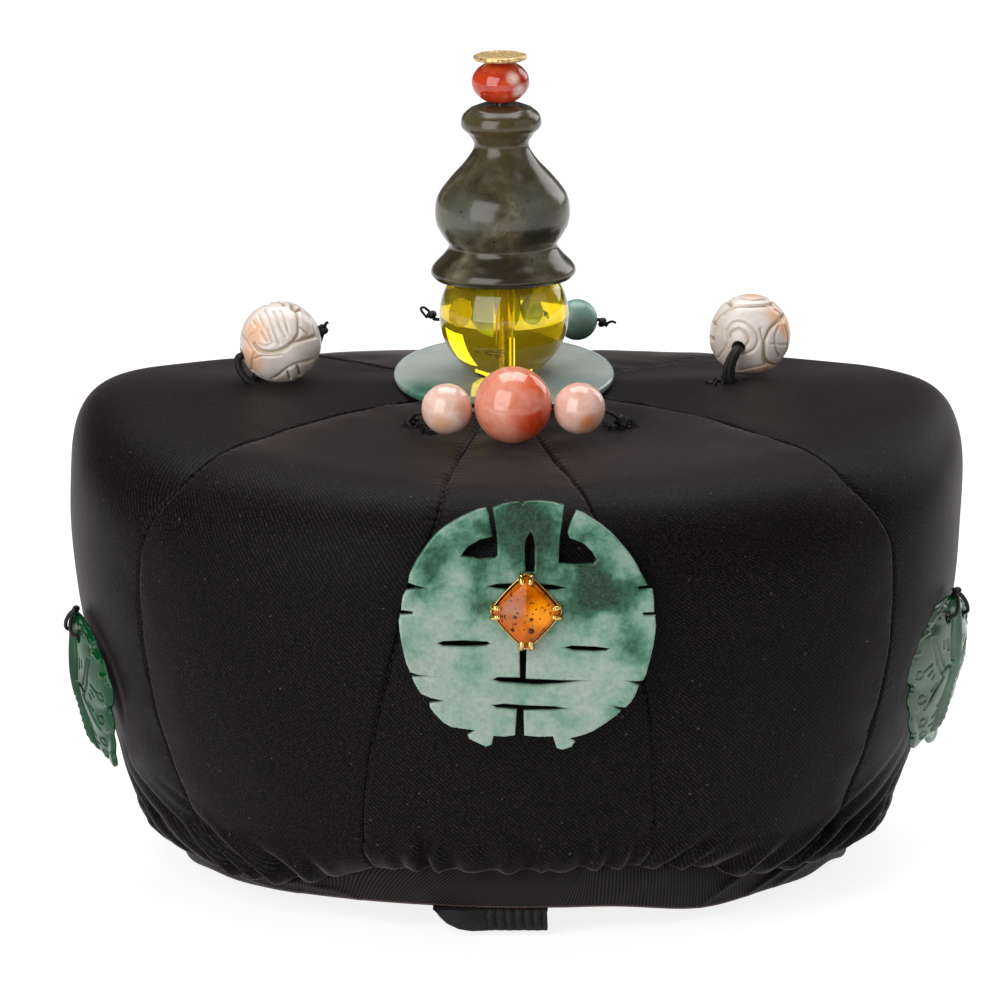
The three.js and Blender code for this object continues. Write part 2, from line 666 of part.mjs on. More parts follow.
// Coral beads in front of the disc, on a thread sewn down at both ends
function addCoralRow(hat) {
  const big = coralRow.beads[1];
  const y = coralRow.y;
  const middle = new THREE.Vector3(big.x, y, restHeight(big.x, y, big.r));
  addRowBead(big, middle, new THREE.Vector3(1, 0, 0), "coralPink", hat);
  const route = [middle.clone()];
  for (const [index, side] of [[0, -1], [2, 1]]) {
    const bead = coralRow.beads[index];
    const mouth = new THREE.Vector3(big.x + side * (big.r + seatGap), y, middle.z);
    const centre = new THREE.Vector3(bead.x, y, middle.z - bead.drop);
    const out = centre.clone().sub(mouth).normalize();
    addRowBead(bead, centre, out, "coralPale", hat);
    const end = coralRow.ends[index === 0 ? 0 : 1];
    const anchor = new THREE.Vector3(end.x, end.y, crownTop(end.x, end.y) + threadR + seatGap);
    const leaving = centre.clone().addScaledVector(out, bead.r + 0.6);
    const stretch = [
      new THREE.Vector3(big.x + side * big.r * 0.7, y, middle.z),
      mouth,
      centre,
      leaving,
      leaving.clone().addScaledVector(out, 1.6).lerp(anchor, 0.35),
      anchor,
    ];
    if (side < 0) route.unshift(...stretch.reverse());
    else route.push(...stretch);
  }
  piece("front_bead_thread", tube(route, threadR, 5, 28), "thread", hat);
}

// Teal beads behind the ball: a stiff thread knotted at both ends, stitched down beside the big bead
function addTealRow(hat) {
  const big = tealRow.beads[1];
  const z = restHeight(big.x, tealRow.y, big.r);
  for (const bead of tealRow.beads) {
    addRowBead(bead, new THREE.Vector3(bead.x, tealRow.y, z), new THREE.Vector3(1, 0, 0), "teal", hat);
  }
  const [left, , right] = tealRow.beads;
  const x0 = left.x - left.r - tealRow.knotR * 0.8;
  const x1 = right.x + right.r + tealRow.knotR * 0.8;
  const straight = (a, b) => tube([a, a.clone().lerp(b, 0.5), b], threadR, 5, 2);
  const parts = [straight(new THREE.Vector3(x0, tealRow.y, z), new THREE.Vector3(x1, tealRow.y, z))];
  parts.push(ballAt(x0, tealRow.y, z, tealRow.knotR), ballAt(x1, tealRow.y, z, tealRow.knotR));
  for (const x of [x0, x1]) {
    const foot = new THREE.Vector3(x, tealRow.y, crownTop(x, tealRow.y) + seatGap);
    parts.push(straight(new THREE.Vector3(x, tealRow.y, z), foot));
  }
  piece("back_bead_thread", join(parts), "thread", hat);
}

// Carved beads on the top, each held by a cord through its hole
function addCarvedBeads(hat) {
  for (const place of carvedPlaces) {
    const z = restHeight(place.x, place.y, carvedBead.r);
    const centre = new THREE.Vector3(place.x, place.y, z);
    const axis = new THREE.Vector3(...place.axis).normalize();
    const bead = beadGeometry(carvedBead.r, carvedBead.r, carvedBead.holeR, 14, 9);
    const mesh = piece("carved_bead_" + place.name, bead, "carvedPale", hat);
    mesh.position.copy(centre);
    mesh.quaternion.setFromUnitVectors(new THREE.Vector3(0, 0, 1), axis);
    const [footX, footY] = place.foot;
    const foot = new THREE.Vector3(footX, footY, crownTop(footX, footY) + carvedBead.cordR + seatGap);
    const along = (k) => centre.clone().addScaledVector(axis, k * carvedBead.r);
    const knot = along(-1.0).addScaledVector(axis, -carvedBead.knotR * 0.9);
    const route = [knot, along(-0.9), along(0), along(1), along(1.25).lerp(foot, 0.3), foot];
    const cord = join([tube(route, carvedBead.cordR, 6, 14), ballAt(knot.x, knot.y, knot.z, carvedBead.knotR)]);
    piece("carved_bead_cord_" + place.name, cord, "thread", hat);
  }
}

// Cutting tools for the roundel, all reaching through its thickness
function slotOutline(slot) {
  const along = new THREE.Vector2(slot.u1 - slot.u0, slot.v1 - slot.v0);
  const side = new THREE.Vector2(-along.y, along.x).normalize();
  const at = (f, w) => [slot.u0 + along.x * f + side.x * w, slot.v0 + along.y * f + side.y * w];
  if (!slot.pointed) {
    return [at(0, -slot.w0 / 2), at(1, -slot.w1 / 2), at(1, slot.w1 / 2), at(0, slot.w0 / 2)];
  }
  const w = slot.w0 / 2;
  return [at(0, 0), at(0.2, -w), at(0.8, -w), at(1, 0), at(0.8, w), at(0.2, w)];
}

function counterClockwise(outline) {
  let area = 0;
  outline.forEach(([u, v], i) => {
    const [u1, v1] = outline[(i + 1) % outline.length];
    area += u * v1 - u1 * v;
  });
  return area < 0 ? outline.reverse() : outline;
}

function roundelGeometry() {
  const outline = [];
  const steps = 44;
  for (let i = 0; i < steps; i++) {
    const a = (2 * Math.PI * i) / steps;
    const v = roundel.halfV * Math.sin(a);
    outline.push([roundel.halfU * Math.cos(a), Math.max(v, roundel.flatV)]);
  }
  const feet = roundelFeet.map((f) => {
    const top = roundel.flatV + 1;
    const foot = [[f.u0, top], [f.u0 + 0.8, f.v + 1.6], [f.tipU, f.v], [f.u1, f.v + 1.4], [f.u1, top]];
    return plate(foot, roundel.thick);
  });
  const body = join([plate(outline, roundel.thick), ...feet]);
  const through = roundel.thick + 2;
  const cuts = roundelSlots.map((slot) => plate(counterClockwise(slotOutline(slot)), through));
  for (const w of roundelWindows) {
    cuts.push(plate(counterClockwise([[w.au, w.av], [w.bu, w.bv], [w.cu, w.cv]]), through));
  }
  return cut(body, cuts.map((g) => g.translate(0, 0, -1)));
}

// A diamond with clipped corners, as points of one ring
function diamond(halfU, halfV, clip, z) {
  const corners = [[1, 0], [0, 1], [-1, 0], [0, -1]];
  const ring = [];
  corners.forEach(([u, v], i) => {
    const before = corners[(i + 3) % 4];
    const after = corners[(i + 1) % 4];
    for (const next of [before, after]) {
      const pu = (u + (next[0] - u) * clip) * halfU;
      const pv = (v + (next[1] - v) * clip) * halfV;
      ring.push(new THREE.Vector3(pu, pv, z));
    }
  });
  return ring;
}

function stoneGeometry() {
  return ringSolid(
    stoneRows.map((row) => {
      const clip = stone.cut + (row.size < 0.5 ? 0.1 : 0);
      return diamond(stone.halfU * row.size, stone.halfV * row.size, clip, row.z);
    }),
  );
}

// Gold setting: a plate under the stone with a low rim, and two claws at each corner
function settingGeometry() {
  const grow = 1 + (seatGap + setting.margin) / (stone.halfU * 0.7);
  const inside = 1 + seatGap / (stone.halfU * 0.7);
  const outer = (z) => diamond(stone.halfU * grow, stone.halfV * grow, stone.cut, z);
  const inner = (z) => diamond(stone.halfU * inside, stone.halfV * inside, stone.cut, z);
  const cup = cut(ringSolid([outer(0), outer(setting.back + setting.rim)]), [
    ringSolid([inner(setting.back), inner(setting.back + setting.rim + 1)]),
  ]);
  const claws = [];
  const girdleTop = setting.back + seatGap + stoneRows[2].z + 0.15;
  for (const [u, v] of [[1, 0], [0, 1], [-1, 0], [0, -1]]) {
    const halfAlong = u !== 0 ? stone.halfU : stone.halfV;
    for (const side of [-1, 1]) {
      const at = (out, z) => {
        const along = halfAlong * (1 - stone.cut) + out;
        const across = side * setting.clawSplit;
        return new THREE.Vector3(u * along + v * across, v * along + u * across, z);
      };
      const clear = setting.clawR + seatGap;
      const route = [
        at(clear, 0.3),
        at(clear + 0.1, girdleTop - 0.6),
        at(clear - 0.5, girdleTop + clear + 0.2),
        at(-setting.clawReach, girdleTop + clear + 0.9),
      ];
      claws.push(tube(route, setting.clawR, 5, 3));
    }
  }
  return join([cup, ...claws]);
}

function addMedallion(hat) {
  const lean = radians(roundel.lean);
  const normal = new THREE.Vector3(0, -Math.cos(lean), Math.sin(lean));
  const axisU = new THREE.Vector3(1, 0, 0);
  const axisV = new THREE.Vector3(0, Math.sin(lean), Math.cos(lean));
  const origin = new THREE.Vector3(roundel.x, -100, roundel.z);
  const reach = crownReach(origin, normal, axisU, axisV, roundel.halfU, roundel.halfV);
  const group = new THREE.Group();
  group.position.copy(origin.addScaledVector(normal, reach + seatGap));
  group.rotation.x = Math.PI / 2 - lean;
  hat.add(group);
  piece("jade_medallion", roundelGeometry(), "mottledJade", group);
  const setZ = roundel.thick + seatGap;
  piece("gold_setting", settingGeometry(), "gold", group).position.set(stone.u, stone.v, setZ);
  const stoneZ = setZ + setting.back + seatGap;
  piece("amber_stone", stoneGeometry(), "amberStone", group).position.set(stone.u, stone.v, stoneZ);
}

// A butterfly: domed front with a ridge along its body, flat back, and an eye hole through each wing
function butterflyGeometry() {
  const across = [-1, -0.7, -0.3, 0, 0.3, 0.7, 1];
  const front = [];
  const back = [];
  const mid = (butterflyRows[0].v + butterflyRows[butterflyRows.length - 1].v) / 2;
  const halfV = butterflyRows[butterflyRows.length - 1].v - mid;
  for (const row of butterflyRows) {
    const frontRow = [];
    const backRow = [];
    for (const f of across) {
      const u = f * row.half;
      const edge = Math.min(1, Math.hypot(f * 0.85, (row.v - mid) / halfV));
      const ridge = butterfly.ridge * Math.exp(-((u / butterfly.ridgeHalf) ** 2));
      const z = butterfly.thick + butterfly.dome * (1 - edge * edge) + ridge * (1 - edge ** 4);
      frontRow.push(new THREE.Vector3(u, row.v, z));
      backRow.push(new THREE.Vector3(u, row.v, 0));
    }
    front.push(frontRow);
    back.push(backRow);
  }
  const eyes = [-1, 1].map((side) => {
    const eye = new THREE.CylinderGeometry(butterfly.eyeR, butterfly.eyeR, 14, 8).rotateX(Math.PI / 2);
    return eye.translate(side * butterfly.eyeU, butterfly.eyeV, 0);
  });
  return cut(wallSolid(front.reverse(), back.reverse()), eyes);
}

function addButterflies(hat) {
  for (const place of butterflyPlaces) {
    let t = 2;
    while (crownPoint(place.az, t).z > place.z) t += 0.01;
    const centre = crownPoint(place.az, t);
    const normal = crownNormal(place.az, t);
    const frame = new THREE.Matrix4();
    const axisU = new THREE.Vector3(0, 0, 1).cross(normal).normalize();
    const axisV = normal.clone().cross(axisU);
    frame.makeBasis(axisU, axisV, normal);
    const reach = crownReach(centre, normal, axisU, axisV, 17, 22);
    const group = new THREE.Group();
    group.position.copy(centre.clone().addScaledVector(normal, reach + seatGap));
    group.quaternion.setFromRotationMatrix(frame);
    hat.add(group);
    const mesh = piece("jade_butterfly_" + place.name, butterflyGeometry(), "greenJade", group);
    mesh.rotation.z = radians(place.turn);
    const top = butterflyRows[butterflyRows.length - 1].v;
    const tie = [
      new THREE.Vector3(-1.2, top + 1.2, 3.4),
      new THREE.Vector3(0, top + 1.1, 2.2),
      new THREE.Vector3(0.6, top + 2.6, 0.9),
      new THREE.Vector3(0.2, top + 5.0, -0.1 + threadR),
    ];
    piece("butterfly_tie_" + place.name, tube(tie, 0.8, 6, 8), "thread", group);
  }
}

const hat = new THREE.Group();
hat.position.y = headAxisY;
for (const gore of gores) piece(gore.name, goreGeometry(gore), "satin", hat);
piece("headband", headbandGeometry(), "ribbon", hat);
piece("ribbon_loop", ribbonLoopGeometry(), "ribbon", hat);
piece("ribbon_tail", ribbonTailGeometry(), "ribbon", hat);
addTopStack(hat);
addCoralRow(hat);
addTealRow(hat);
addCarvedBeads(hat);
addMedallion(hat);
addButterflies(hat);

export default hat;
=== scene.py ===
# Jewelled satin toque hat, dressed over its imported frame. Metres, +Z up, the front towards -Y.
import math

import bmesh
import bpy
import numpy as np
from mathutils import Matrix, Vector


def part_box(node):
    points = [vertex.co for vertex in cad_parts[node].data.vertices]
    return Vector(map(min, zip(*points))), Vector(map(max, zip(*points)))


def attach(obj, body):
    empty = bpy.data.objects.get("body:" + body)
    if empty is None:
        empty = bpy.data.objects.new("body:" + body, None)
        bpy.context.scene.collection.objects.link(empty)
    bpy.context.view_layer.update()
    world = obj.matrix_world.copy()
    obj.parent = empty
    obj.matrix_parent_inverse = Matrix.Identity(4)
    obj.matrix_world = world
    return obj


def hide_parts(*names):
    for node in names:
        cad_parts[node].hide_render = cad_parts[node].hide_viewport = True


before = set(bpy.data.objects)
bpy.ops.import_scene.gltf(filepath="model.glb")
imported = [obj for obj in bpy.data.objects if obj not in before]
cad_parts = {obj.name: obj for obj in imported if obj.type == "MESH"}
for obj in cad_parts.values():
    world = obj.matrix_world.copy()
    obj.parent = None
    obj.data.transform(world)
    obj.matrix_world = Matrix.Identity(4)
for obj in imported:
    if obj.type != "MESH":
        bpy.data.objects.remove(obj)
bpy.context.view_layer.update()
mm = 0.001
headAxis = np.array([0, 7.0, 0])  # millimetres: the hat is laid out round the head's axis

# camera and lights
studio = {
    "target": (-0.0044, 0.007, 0.0981), "elevation": 12.5, "distance": 2.6, "lens": 339,
    "backdrop": 1.7, "room": 0.8, "floor": 0.85, "softboxes": {  # place, size and power
        "softboxKey": ((-0.95, -1.35, 0.82), (1.5, 1.9), 34), "softboxFill": ((2.1, -1.0, 1.1), (2.4, 2.0), 9),
        "softboxTop": ((0.0, 0.5, 1.7), (1.6, 1.2), 28), "softboxRim": ((1.3, 1.3, 0.9), (1.0, 1.2), 10),
    },
}


def inScene(name, data):
    obj = bpy.data.objects.new(name, data)
    bpy.context.scene.collection.objects.link(obj)
    return obj


def aimed(name, data, place, target):
    obj = inScene(name, data)
    obj.location = place
    obj.rotation_euler = (Vector(target) - Vector(place)).to_track_quat("-Z", "Y").to_euler()
    return obj


def setUpStudio():
    target = Vector(studio["target"])
    e = math.radians(studio["elevation"])
    data = bpy.data.cameras.new("camera")
    data.lens, data.sensor_width = studio["lens"], 36
    data.clip_start, data.clip_end = 0.1, 60
    place = target + Vector((0, -math.cos(e), math.sin(e))) * studio["distance"]
    bpy.context.scene.camera = aimed("camera", data, place, target)
    for name, (place, size, power) in studio["softboxes"].items():
        light = bpy.data.lights.new(name, "AREA")
        light.shape = "RECTANGLE"
        light.size, light.size_y = size
        light.energy = power
        aimed(name, light, place, (0, 0, 0.12))
    world = bpy.data.worlds.new("studio")
    bpy.context.scene.world = world
    world.use_nodes = True
    tree = world.node_tree
    # a bright white backdrop behind the hat, and a dimmer room on the near side
    depth = addNode(tree, "SeparateXYZ", {0: addNode(tree, "TexCoord", out="Generated")}, 1)
    light = addNode(tree, "MapRange", {
        "Value": depth, "From Min": -0.55, "From Max": 0.25, "To Min": studio["room"], "To Max": studio["backdrop"],
    }, interpolation_type="SMOOTHSTEP")
    tree.links.new(light, tree.nodes["Background"].inputs["Strength"])
    bpy.context.scene.view_settings.view_transform = "Standard"


# small helpers for materials
def linear(hexText):
    parts = [int(hexText[i:i + 2], 16) / 255 for i in (1, 3, 5)]
    return tuple(c / 12.92 if c <= 0.04045 else ((c + 0.055) / 1.055) ** 2.4 for c in parts) + (1.0,)


def addNode(tree, kind, inputs=(), out=0, stops=(), **settings):
    # one node: an input takes a number, a hex colour or the socket to link, and stops fill a colour ramp
    node = tree.nodes.new(kind if "Node" in kind else "ShaderNode" + kind)
    for key, value in settings.items():
        setattr(node, key, value)
    for key, value in dict(inputs).items():
        if isinstance(value, bpy.types.NodeSocket):
            tree.links.new(value, node.inputs[key])
        else:
            node.inputs[key].default_value = linear(value) if isinstance(value, str) else value
    for k, (position, colour) in enumerate(stops):
        element = node.color_ramp.elements[k] if k < 2 else node.color_ramp.elements.new(position)
        element.position = position
        element.color = linear(colour) if isinstance(colour, str) else (colour, colour, colour, 1)
    return node.outputs if out is None else node.outputs[out] if node.outputs else node


def objectPoint(tree, centre=(0, 0, 0), scale=(1, 1, 1)):
    # object coordinates in millimetres from a centre, given in the part's frame
    place = addNode(tree, "TexCoord", out="Object")
    shifted = addNode(tree, "VectorMath", {0: place, 1: tuple(c * mm for c in centre)}, operation="SUBTRACT")
    return addNode(tree, "Mapping", {"Vector": shifted, "Scale": tuple(s / mm for s in scale)})


def newMaterial(name, *centreAndScale):
    material = bpy.data.materials.new(name)
    material.use_nodes = True
    material.node_tree.nodes.clear()
    return material, material.node_tree, objectPoint(material.node_tree, *centreAndScale)


def surfaced(material, inputs):
    shader = addNode(material.node_tree, "BsdfPrincipled", inputs)
    addNode(material.node_tree, "OutputMaterial", {"Surface": shader})
    return material


def sized(point, size, detail=3.0, rough=0.55, warp=0.0):
    # the inputs of a noise whose pattern is this many millimetres wide
    return {"Vector": point, "Scale": 1 / size, "Detail": detail, "Roughness": rough, "Distortion": warp}


def patchAt(tree, centre, radius, soft):
    # 1 inside a soft ball round a point of the part, 0 outside
    far = addNode(tree, "VectorMath", {0: objectPoint(tree, centre)}, "Value", operation="LENGTH")
    return addNode(tree, "MapRange", {"Value": far, "From Min": radius + soft, "From Max": radius - soft},
                   interpolation_type="SMOOTHSTEP")


# small helpers for meshes
noiseTable = np.random.default_rng(11).uniform(-1, 1, (64, 64))


def smoothNoise(u, v):
    i, j = np.floor(u).astype(int), np.floor(v).astype(int)
    fu, fv = u - i, v - j
    fu, fv = fu * fu * (3 - 2 * fu), fv * fv * (3 - 2 * fv)
    at = lambda a, b: noiseTable[a % 64, b % 64]
    near = at(i, j) * (1 - fu) + at(i + 1, j) * fu
    far = at(i, j + 1) * (1 - fu) + at(i + 1, j + 1) * fu
    return near * (1 - fv) + far * fv


def smoothStep(x, low, high):
    f = np.clip((np.asarray(x, float) - low) / (high - low), 0, 1)
    return f * f * (3 - 2 * f)


def meshOf(name, points, faces, uv=None, smooth=True, marks=()):
    # points in millimetres in the part's frame; uv is one pair for each corner of each face; marks name
    # one number for each point
    mesh = bpy.data.meshes.new(name)
    faces = faces if isinstance(faces, list) else faces.tolist()
    mesh.from_pydata((np.asarray(points) * mm).tolist(), [], faces)
    if uv is not None:
        layer = mesh.uv_layers.new(name="cloth")
        layer.data.foreach_set("uv", np.asarray(uv, np.float32).ravel())
    for mark, values in dict(marks).items():
        mesh.attributes.new(mark, "FLOAT", "POINT").data.foreach_set("value",
            np.asarray(values, np.float32).ravel())
    mesh.polygons.foreach_set("use_smooth", [smooth] * len(mesh.polygons))
    mesh.update()
    return inScene(name, mesh)


def tidyMesh(obj, merge=0.0, bridge=False):
    # doubles merged, or two open sheets joined along their rims, and the faces turned outwards
    work = bmesh.new()
    work.from_mesh(obj.data)
    if merge:
        bmesh.ops.remove_doubles(work, verts=work.verts, dist=merge * mm)
    if bridge:
        bmesh.ops.bridge_loops(work, edges=[e for e in work.edges if e.is_boundary])
        for face in work.faces:
            face.smooth = True
    bmesh.ops.recalc_face_normals(work, faces=work.faces)
    work.to_mesh(obj.data)
    work.free()
    return obj


def gridFaces(rows, cols, wrap=False):
    # quads of a grid of points, and the grid place of each corner
    i, j = np.meshgrid(np.arange(rows - 1), np.arange(cols - 1), indexing="ij")
    corners = [(i, j), (i, j + 1), (i + 1, j + 1), (i + 1, j)]
    width = cols - 1 if wrap else cols
    faces = np.stack([(a * width + (b % width)).ravel() for a, b in corners], 1)
    places = np.stack([(a * cols + b).ravel() for a, b in corners], 1)
    return faces, places


def turnedPiece(name, profile, centre, axis=(0, 0, 1), sides=96, shape=None):
    # a profile of (radius, height) turned round an axis; a closed profile repeats its first point
    profile = np.array(profile, float)
    angle = np.linspace(0, 2 * np.pi, sides + 1)
    ring = np.stack([np.cos(angle[:-1]), np.sin(angle[:-1])], 1)
    local = np.concatenate([
        profile[:, None, :1] * ring[None], np.repeat(profile[:, None, 1:], sides, 1)], 2).reshape(-1, 3)
    marks = {}
    if shape is not None:
        local, marks = shape(local)
    turn = np.array(Vector((0, 0, 1)).rotation_difference(Vector(axis)).to_matrix())
    faces, places = gridFaces(len(profile), sides + 1, wrap=True)
    along = np.concatenate([[0], np.cumsum(np.hypot(*np.diff(profile, axis=0).T))])
    uv = np.stack(np.meshgrid(along, angle * profile[:, 0].max(), indexing="ij"), 2).reshape(-1, 2)[:, ::-1]
    obj = meshOf(name, local @ turn.T + np.array(centre), faces, uv[places], marks=marks)
    return tidyMesh(obj, 0.002)


def catmull(a, b, c, d, f):
    return 0.5 * (2 * b + (c - a) * f + (2 * a - 5 * b + 4 * c - d) * f ** 2 + (3 * b - a - 3 * c + d) * f ** 3)


def smoothLine(points, steps):
    # a Catmull-Rom curve through points
    p = np.array(points, float)
    p = np.vstack([2 * p[0] - p[1], p, 2 * p[-1] - p[-2]])
    out = []
    for k in range(1, len(p) - 2):
        f = np.linspace(0, 1, steps, endpoint=False)[:, None]
        out.append(catmull(*p[k - 1:k + 3], f))
    return np.vstack(out + [p[-2:-1]])


def tubeParts(line, radius, sides=10, twist=0.0, strands=0, strandDepth=0.0):
    # rings along a line, carried without turning, closed by a point at each end
    line = np.array(line, float)
    radius = np.broadcast_to(radius, len(line))
    ahead = np.gradient(line, axis=0)
    ahead /= np.linalg.norm(ahead, axis=1)[:, None]
    side = np.cross(ahead[0], [0.3, 0.2, 1.0])
    rings = []
    run = np.concatenate([[0], np.cumsum(np.linalg.norm(np.diff(line, axis=0), axis=1))])
    for k, (point, way) in enumerate(zip(line, ahead)):
        side = side - way * side.dot(way)
        side /= np.linalg.norm(side)
        up = np.cross(way, side)
        a = np.linspace(0, 2 * np.pi, sides, endpoint=False)
        r = radius[k] * (1 + strandDepth * np.abs(np.sin((a * strands + run[k] * twist) / 2)) if strands else 1)
        rings.append(point + (np.cos(a) * r)[:, None] * side + (np.sin(a) * r)[:, None] * up)
    rings = [np.repeat(line[:1], sides, 0)] + rings + [np.repeat(line[-1:], sides, 0)]
    faces, _ = gridFaces(len(rings), sides + 1, wrap=True)
    return np.vstack(rings), faces


def joinedParts(name, parts):
    points, faces, start = [], [], 0
    for p, f in parts:
        points.append(p)
        faces.extend((np.asarray(f) + start).tolist())
        start += len(p)
    return tidyMesh(meshOf(name, np.vstack(points), faces), 0.002)


def lineDistance(points, line):
    # shortest distance of each point to a line of straight steps
    best = np.full(len(points), 1e9)
    for a, b in zip(line[:-1], line[1:]):
        way = b - a
        f = np.clip((points - a) @ way / max(way @ way, 1e-9), 0, 1)
        best = np.minimum(best, np.linalg.norm(points - a - f[:, None] * way, axis=1))
    return best


def asPiece(obj, material, slotName, *nodes):
    obj.data.materials.clear()
    obj.data.materials.append(material)
    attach(obj, "root")
    if nodes:
        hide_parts(*nodes)
    return obj


# crown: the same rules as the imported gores, finer
crownRows = {
    "slope": [0.09, 0.075, 0.035, 0.0, 0.042, 0.07, 0.075],
    "flatR": [88, 88, 90, 98, 90, 74, 66],
    "power": [2.6, 2.6, 2.7, 3.4, 2.8, 2.4, 2.3],
    "bulgeR": [113, 118, 124.5, 122, 123.5, 116, 110],
    "bulgeZ": [92, 93, 98, 105, 98, 90, 86],
    "lowR": [105, 107.3, 109, 104.6, 108.5, 107, 104],
    "lowZ": [27, 25.5, 22, 22, 22, 23, 23],
}
crown = {
    "apexZ": 131.0, "tipR": 6.5, "bandX": 92.0, "bandY": 98.0, "wall": 2.2,
    "seamDip": 0.75, "seamRoll": 0.55, "puff": 0.6, "foldGain": 1.25, "tuck": 9.5, "step": 1.0, "backStep": 1.7,
    "edgeDip": 0.3, "pucker": 0.42, "swell": 0.45, "hemWall": 1.8, "fineSteps": 900, "lining": 5,
}
seamRows = {
    "frontLeft": [15.0, 14.0, 12.0, 11.5, 15.0, 19.5, 22.5, 22.5, 22.0],
    "frontRight": [6.0, 6.5, 9.5, 11.5, 15.0, 18.3, 20.0, 19.5, 19.0],
    "arch": [57.0, 59.5, 52.5, 50.8, 55.0, 55.0, 52.0, 46.5, 42.0],
    "backSide": [128, 134, 139, 136, 131, 128, 130, 134, 138],
    "backCentre": [165] * 9,
}
gores = {
    "crown_front": ("-frontLeft", "+frontRight"),
    "crown_front_right": ("+frontRight", "+arch"),
    "crown_side_right": ("+arch", "+backSide"),
    "crown_back_right": ("+backSide", "+backCentre"),
    "crown_back": ("+backCentre", "-backCentre"),
    "crown_back_left": ("-backCentre", "-backSide"),
    "crown_side_left": ("-backSide", "-arch"),
    "crown_front_left": ("-arch", "-frontLeft"),
}
# height of the cloth's lower edge over the ribbon and how far it hangs out over it, round the hat
hemRows = {
    "az": [-180, -120, -90, -62, -48, -39, -32, -23, -14, 0, 14, 23, 31, 35, 45, 60, 90, 120, 180],
    "z": [12, 12, 11.6, 10.2, 9.3, 10.2, 12.8, 16.8, 18.0, 18.7, 18.4, 17.8, 17.2, 13.4, 11.4, 11.2, 11.8, 12, 12],
    "out": [-0.6, -0.6, 0.4, 1.6, 1.8, 1.4, 0.2, -0.9, -1.0, -1.0, -1.0, -0.9, -0.4, 0.8, 1.6, 1.6, 0.6, -0.6,
            -0.6],
}


def catmullAt(rows, x, even):
    # a value between rows; an even one is mirrored past both ends
    rows = np.asarray(rows, float)
    last = len(rows) - 1
    i = np.minimum(np.floor(x).astype(int), last - 1)
    f = x - i
    if even:
        fold = lambda k: np.where(k < 0, -k, np.where(k > last, 2 * last - k, k))
    else:
        fold = lambda k: np.clip(k, 0, last)
    return catmull(*(rows[fold(i + k)] for k in (-1, 0, 1, 2)), f)


def wrapped(az):
    return (az + 180) % 360 - 180


def crownValue(column, az):
    return catmullAt(crownRows[column], np.abs(wrapped(az)) / 30, True)


def bandR(az):
    a = np.radians(az)
    return 1 / np.hypot(np.sin(a) / crown["bandX"], np.cos(a) / crown["bandY"])


def hemAt(column, az):
    return np.interp(wrapped(az), hemRows["az"], hemRows[column])


def crownPoint(az, t):
    az, t = np.broadcast_arrays(np.asarray(az, float), np.asarray(t, float))
    slope, flatR, power, bulgeR, bulgeZ, lowR, lowZ = (crownValue(c, az) for c in crownRows)
    top = crown["apexZ"]
    w = np.clip(t - 1, 0, 1) * np.pi / 2
    e = 2 / power
    r1, z1 = flatR * t, top - slope * flatR * t
    r2 = flatR + (bulgeR - flatR) * np.sin(w) ** e
    z2 = top - slope * r2 - (top - slope * bulgeR - bulgeZ) * (1 - np.maximum(np.cos(w), 0) ** e)
    u = np.clip(t - 2, 0, 1)
    r3, z3 = bulgeR - (bulgeR - lowR) * u * u, bulgeZ - (bulgeZ - lowZ) * u
    v = np.clip(t - 3, 0, 1) * np.pi / 2
    hemR, hemZ = bandR(az) + hemAt("out", az), hemAt("z", az)
    r4, z4 = hemR + (lowR - hemR) * np.cos(v), lowZ - (lowZ - hemZ) * np.sin(v)
    r = np.select([t <= 1, t <= 2, t <= 3], [r1, r2, r3], r4)
    z = np.select([t <= 1, t <= 2, t <= 3], [z1, z2, z3], z4)
    a = np.radians(az)
    return np.stack([r * np.sin(a), -r * np.cos(a), z], -1)


def crownNormal(az, t):
    t0, t1 = np.maximum(t - 0.012, 0.02), np.minimum(t + 0.012, 4)
    along = crownPoint(az, t1) - crownPoint(az, t0)
    around = crownPoint(az + 0.2, t) - crownPoint(az - 0.2, t)
    normal = np.cross(along, around)
    return normal / np.linalg.norm(normal, axis=-1)[..., None]


def seamAz(seam, t):
    side = -1 if seam[0] == "-" else 1
    return side * catmullAt(seamRows[seam[1:]], np.clip(t, 0, 4) * 2, False)


# folds where the gathered cloth goes in at the ribbon: azimuth at the hem, how far each reaches up the
# cloth, lean in degrees of azimuth per millimetre, depth and width in millimetres
frontFolds = [
    (-64, 26, -0.75, 1.5, 1.9), (-57, 30, -0.85, 1.6, 1.8), (-50.5, 30, -0.8, 2.0, 1.9), (-46, 16, -0.6, 2.4, 2.0),
    (-41.5, 24, -0.75, 2.0, 1.7), (-36.5, 11, -0.5, 2.8, 2.4), (-31, 8, -0.2, 1.0, 1.5), (-17.5, 7, 0.0, 0.9, 1.3),
    (-13.6, 10, 0.05, 2.2, 1.2), (-9.5, 5, 0.0, 1.0, 1.6), (-3.5, 6, 0.0, 1.4, 2.2), (1.6, 11, 0.1, 2.2, 2.4),
    (5.0, 6, 0.1, 1.0, 1.3), (10.0, 9, 0.15, 1.6, 1.6), (13.8, 7, 0.2, 1.4, 1.4), (17.2, 9, 0.2, 1.2, 1.2),
    (23.8, 17, 0.45, 2.2, 1.9), (27.5, 12, 0.4, 1.0, 1.4), (33.5, 9, 0.4, 2.0, 2.2), (38.5, 12, 0.5, 1.0, 1.6),
    (44, 34, 0.75, 1.9, 2.0), (49.5, 32, 0.85, 1.8, 1.7), (55, 30, 0.85, 1.8, 1.9), (61, 26, 0.8, 1.5, 1.8),
]
foldNumbers = np.random.default_rng(5)
otherFolds = []
place = 68.0
